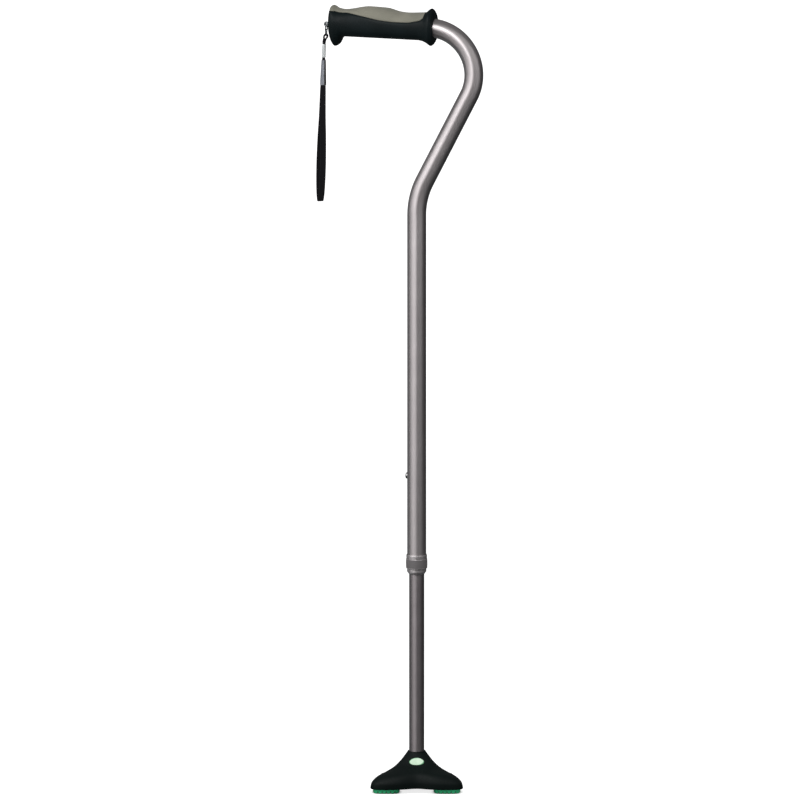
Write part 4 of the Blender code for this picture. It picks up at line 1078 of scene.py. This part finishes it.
def collar_finish(name, low, high, matt):
    """Collar with the sheen of the tubes, matt on the band that the hand grips."""
    material, tree, shader = plain(name, low, COLLAR_GLOSS, 1.0)
    height = parts(object_place(tree))["Z"]
    start, end = BAND_HEIGHTS
    above = ramped(height, start, start + BAND_BLEND)
    band = times(above, ramped(height, end - BAND_BLEND, end, 1.0, 0.0))
    feed(shader, "Base Color", mixed_colour(band, drifting(tree, low, high), colour(*matt)))
    feed(shader, "Metallic", ramped(band, 0.0, 1.0, COLLAR_METAL, BAND_METAL))
    feed(shader, "Roughness", ramped(band, 0.0, 1.0, COLLAR_GLOSS, BAND_ROUGHNESS))
    drawn(shader, COLLAR_STRETCH, direction_type="RADIAL", axis="Z")
    bumped(shader, grain(tree, COLLAR_GRAIN), COLLAR_RELIEF)
    return material


def badge_finish(name, low, high, rim):
    """Pale enamel with a thin darker rim round the oval."""
    material, tree, shader = plain(name, low, BADGE_GLOSS)
    split = parts(put(tree, "TexCoord").outputs["Generated"])
    across, upward = (maths("POWER", maths("SUBTRACT", split[axis], 0.5), 2.0) for axis in "XZ")
    edge = ramped(times(maths("SQRT", plus(across, upward)), 2.0), *BADGE_RIM)
    feed(shader, "Base Color", mixed_colour(edge, drifting(tree, low, high), colour(*rim)))
    return material


def moulded_finish(name, low, high, roughness, pebbles, relief, shine, sheen):
    """Moulded rubber or plastic with a pebbled skin."""
    material, tree, shader = plain(name, low, roughness)
    feed(shader, "Base Color", drifting(tree, low, high, MOULDED_TONE_GRAIN, FINE_DETAIL))
    smooth, rough = roughness - MOULDED_SCATTER, roughness + MOULDED_SCATTER
    feed(shader, "Roughness", between(grain(tree, MOULDED_GRAIN), smooth, rough))
    skin_cells = put(tree, "TexVoronoi", Vector=object_place(tree), Scale=pebbles)
    bumped(shader, skin_cells.outputs["Distance"], relief)
    feed(shader, "Specular IOR Level", shine)
    feed(shader, "Sheen Weight", sheen)
    return material


def thread_place(tree):
    """Texture coordinates of the woven pieces: across from 0 to 1 and along in metres."""
    return parts(put(tree, "UVMap", uv_map="threads").outputs[0])[:2]


def wave(amount, count):
    """Rise and fall from 0 to 1, a count of times over each unit of the amount."""
    return times(plus(maths("SINE", times(amount, FULL_TURN * count)), 1.0), 0.5)


def woven_finish(name, low, high, across_count, along_count, depth, slant):
    """Woven threads: ribs along the band broken into stitches across it, with painted shade darkening the
    hollows between them.
    """
    material, tree, shader = plain(name, low, WOVEN_ROUGHNESS)
    across, along = thread_place(tree)
    ribs = wave(plus(across, times(along, slant)), across_count)
    steps = wave(plus(along, times(across, slant / along_count)), along_count)
    height = plus(ribs, times(steps, WOVEN_STEP_SHARE))
    # Colour darkens with the relief: painted shade in the weave's hollows, times a random grain of tone
    tone = times(height, plus(grain(tree, WOVEN_GRAIN), WOVEN_LEAST_TONE))
    feed(shader, "Base Color", mixed_colour(times(tone, WOVEN_TONE), colour(*low), colour(*high)))
    bumped(shader, height, depth)
    feed(shader, "Specular IOR Level", WOVEN_SHINE)
    feed(shader, "Sheen Weight", WOVEN_SHEEN)
    return material


def tape_finish(name, dark, light, gaps, black):
    """Grey reflective tape of tiny beads in a fine net, with a black band along one edge."""
    material, tree, shader = plain(name, light, TAPE_ROUGHNESS[0])
    across, along = thread_place(tree)
    net = times(wave(across, NET_ACROSS), wave(along, NET_PER_METRE))
    beads = drifting(tree, dark, light, TAPE_GRAIN, FINE_DETAIL)
    band = ramped(across, *TAPE_BAND)
    grey = mixed_colour(times(net, NET_TONE), beads, colour(*gaps))
    feed(shader, "Base Color", mixed_colour(band, grey, colour(*black)))
    feed(shader, "Roughness", ramped(band, 0.0, 1.0, *TAPE_ROUGHNESS))
    bumped(shader, net, NET_RELIEF)
    return material


# Surroundings, camera and lights

def ring_level(direction):
    """Level of the surroundings in a direction, which changes with its bearing only."""
    split = parts(direction)
    turns = times(maths("ARCTAN2", split["Y"], split["X"]), 1 / FULL_TURN)
    place = maths("FRACT", plus(turns, 0.5 - CAMERA_SIDE / FULL_TURN))
    stops = put(direction.id_data, "ValToRGB", Fac=place)
    elements = stops.color_ramp.elements
    elements.remove(elements[1])
    for index, (bearing, level) in enumerate(GLOSS_RING):
        element = elements.new(bearing / 360 + 0.5) if index else elements[0]
        element.position = bearing / 360 + 0.5
        element.color = (level, level, level, 1)
    return stops.outputs["Color"]


def add_world():
    """White surroundings for the camera, plain soft light for the object, dimmer ones in reflections."""
    world = bpy.data.worlds.new("studio")
    bpy.context.scene.world = world
    world.cycles.sampling_method = "NONE"
    world.use_nodes = True
    tree = world.node_tree
    tree.nodes.clear()
    path = put(tree, "LightPath").outputs
    direction = put(tree, "TexCoord").outputs["Generated"]
    high = maths("GREATER_THAN", parts(direction)["Z"], sin(GLOSS_RING_TOP))
    glossy = plus(times(ring_level(direction), maths("SUBTRACT", 1.0, high)), times(high, GLOSS_SKY_LEVEL))
    shiny = maths("MAXIMUM", path["Is Glossy Ray"], path["Is Transmission Ray"])
    seen = path["Is Camera Ray"]
    hidden = maths("SUBTRACT", 1.0, maths("MAXIMUM", seen, shiny))
    level = plus(plus(seen, times(shiny, glossy)), times(hidden, WORLD_LEVEL))
    background = put(tree, "Background", Color=(1, 1, 1, 1), Strength=level)
    put(tree, "OutputWorld", Surface=background.outputs[0])


def floor_finish():
    """Matte white that glows for the camera, with a painted contact shadow where ambient occlusion dims the
    glow close under the cane; gloss sees the surroundings.
    """
    material = bpy.data.materials.new("floor_white")
    material.cycles.emission_sampling = "NONE"
    material.use_nodes = True
    tree = material.node_tree
    tree.nodes.clear()
    path = put(tree, "LightPath").outputs
    place = object_place(tree)
    length = put(tree, "VectorMath", operation="LENGTH", Vector=place).outputs["Value"]
    # Ambient occlusion dims the camera's glow close under the cane: a painted contact shadow
    contact_shadow_mask = put(tree, "AmbientOcclusion", samples=CONTACT_SHADOW_SAMPLES, Distance=CONTACT_SHADOW_REACH).outputs["AO"]
    strength = times(times(path["Is Camera Ray"], ramped(length, *FLOOR_GLOW_REACH, *FLOOR_GLOW)), contact_shadow_mask)
    matte = put(tree, "BsdfDiffuse", Color=(FLOOR_SHADE, FLOOR_SHADE, FLOOR_SHADE, 1))
    glow = put(tree, "Emission", Color=(1, 1, 1, 1), Strength=strength)
    both = put(tree, "AddShader", matte.outputs[0], glow.outputs[0])
    mirrored = put(tree, "Emission", Color=GLOSS_FLOOR_TINT, Strength=ring_level(place))
    mixed = put(tree, "MixShader", path["Is Glossy Ray"], both.outputs[0], mirrored.outputs[0])
    put(tree, "OutputMaterial", Surface=mixed.outputs[0])
    return material


def add_floor():
    """White floor that takes the cane's shadow."""
    mesh = bpy.data.meshes.new("floor")
    corners = ((-1, -1), (1, -1), (1, 1), (-1, 1))
    mesh.from_pydata([(x * FLOOR_REACH, y * FLOOR_REACH, FLOOR_LOW) for x, y in corners], [], [(0, 1, 2, 3)])
    mesh.materials.append(floor_finish())
    placed("floor", mesh)


def add_camera():
    """Long lens far away, which is how the photograph was taken."""
    right = Vector((cos(VIEW_YAW), sin(VIEW_YAW), 0))
    rise = sin(VIEW_ELEVATION)
    up = Vector((-sin(VIEW_YAW) * rise, cos(VIEW_YAW) * rise, cos(VIEW_ELEVATION)))
    back = right.cross(up)
    data = bpy.data.cameras.new("camera")
    data.lens = LENS
    data.sensor_width = SENSOR
    data.clip_end = CLIP_END
    sideways = (IMAGE_SIDE / 2 - AXIS_COLUMN) * METRES_PER_PIXEL
    upward = (FLOOR_ROW - IMAGE_SIDE / 2) * METRES_PER_PIXEL
    distance = IMAGE_SIDE * METRES_PER_PIXEL * LENS / SENSOR + TRUE_SCALE_HEIGHT * rise
    turned = Matrix((right, up, back)).transposed().to_4x4()
    turned.translation = right * sideways + up * upward + back * distance
    camera = placed("camera", data)
    camera.matrix_world = turned
    bpy.context.scene.camera = camera
    bpy.context.scene.view_settings.view_transform = "Standard"


def add_softbox(name, bearing, height, distance, size, power_level):
    """Area lamp on a bearing from the camera's side, aimed at the cane's axis."""
    data = bpy.data.lights.new(name, "AREA")
    data.shape = "RECTANGLE"
    data.size, data.size_y = size
    data.energy = power_level
    lamp = placed(name, data)
    lamp.visible_camera = False
    angle = CAMERA_SIDE + radians(bearing)
    lamp.location = (distance * cos(angle), distance * sin(angle), height)
    aim = Vector((0, 0, SOFTBOX_AIM)) - lamp.location
    lamp.rotation_euler = aim.to_track_quat("-Z", "Y").to_euler()


def main():
    """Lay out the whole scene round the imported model."""
    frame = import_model()
    add_camera()
    add_world()
    add_floor()
    for softbox in SOFTBOXES:
        add_softbox(*softbox)

    tube, shade_painted_metal = (tube_finish(*row) for row in TUBE_METALS)
    chrome, spring, link, steel = (metal_finish(*row) for row in METALS)
    grip, pad, rubber, inner, green = (moulded_finish(*row) for row in MOULDED)
    cord, webbing = (woven_finish(*row) for row in WOVEN)
    collar = collar_finish("collar_grey", *COLLAR_COLOURS)
    enamel = badge_finish("badge_enamel", *BADGE_COLOURS)
    tape = tape_finish("reflective_grey", *TAPE_COLOURS)
    treads = ["tread_pad_" + corner for corner in ("front_left", "front_right", "back_left", "back_right")]
    carried = ((collar, "collar_sleeve", "collar_nut"), (chrome, "snap_button"), (enamel, "foot_badge"),
               (inner, "squeeze_ring", "guide_plug", "tube_end_plug"), (spring, "socket_washer"),
               (green, *treads))
    for material, *nodes in carried:
        for node in nodes:
            slots = frame["nodes"][node].data.materials
            slots.clear()
            slots.append(material)

    make_upper_tube(tube)
    # The lower tube takes the darker copy of the tube metal, which paints shade on it
    make_lower_tube(shade_painted_metal)
    make_leaf_spring(spring)
    make_grip_body(grip)
    make_grip_pad(pad)
    make_strap_eye(link)
    make_link("upper_link", UPPER_LINK_DROP, LINK_TURN, "strap_link", link, "chain_link_upper")
    make_link("lower_link", LOWER_LINK_DROP, 2 * LINK_TURN, "strap", link, "chain_link_lower")
    make_strap_cord(cord)
    make_strap_ferrule(steel)
    make_wrist_strap(webbing)
    make_reflective_tape(tape)
    make_tape_stitches(cord)
    make_foot_shell(rubber)


main()
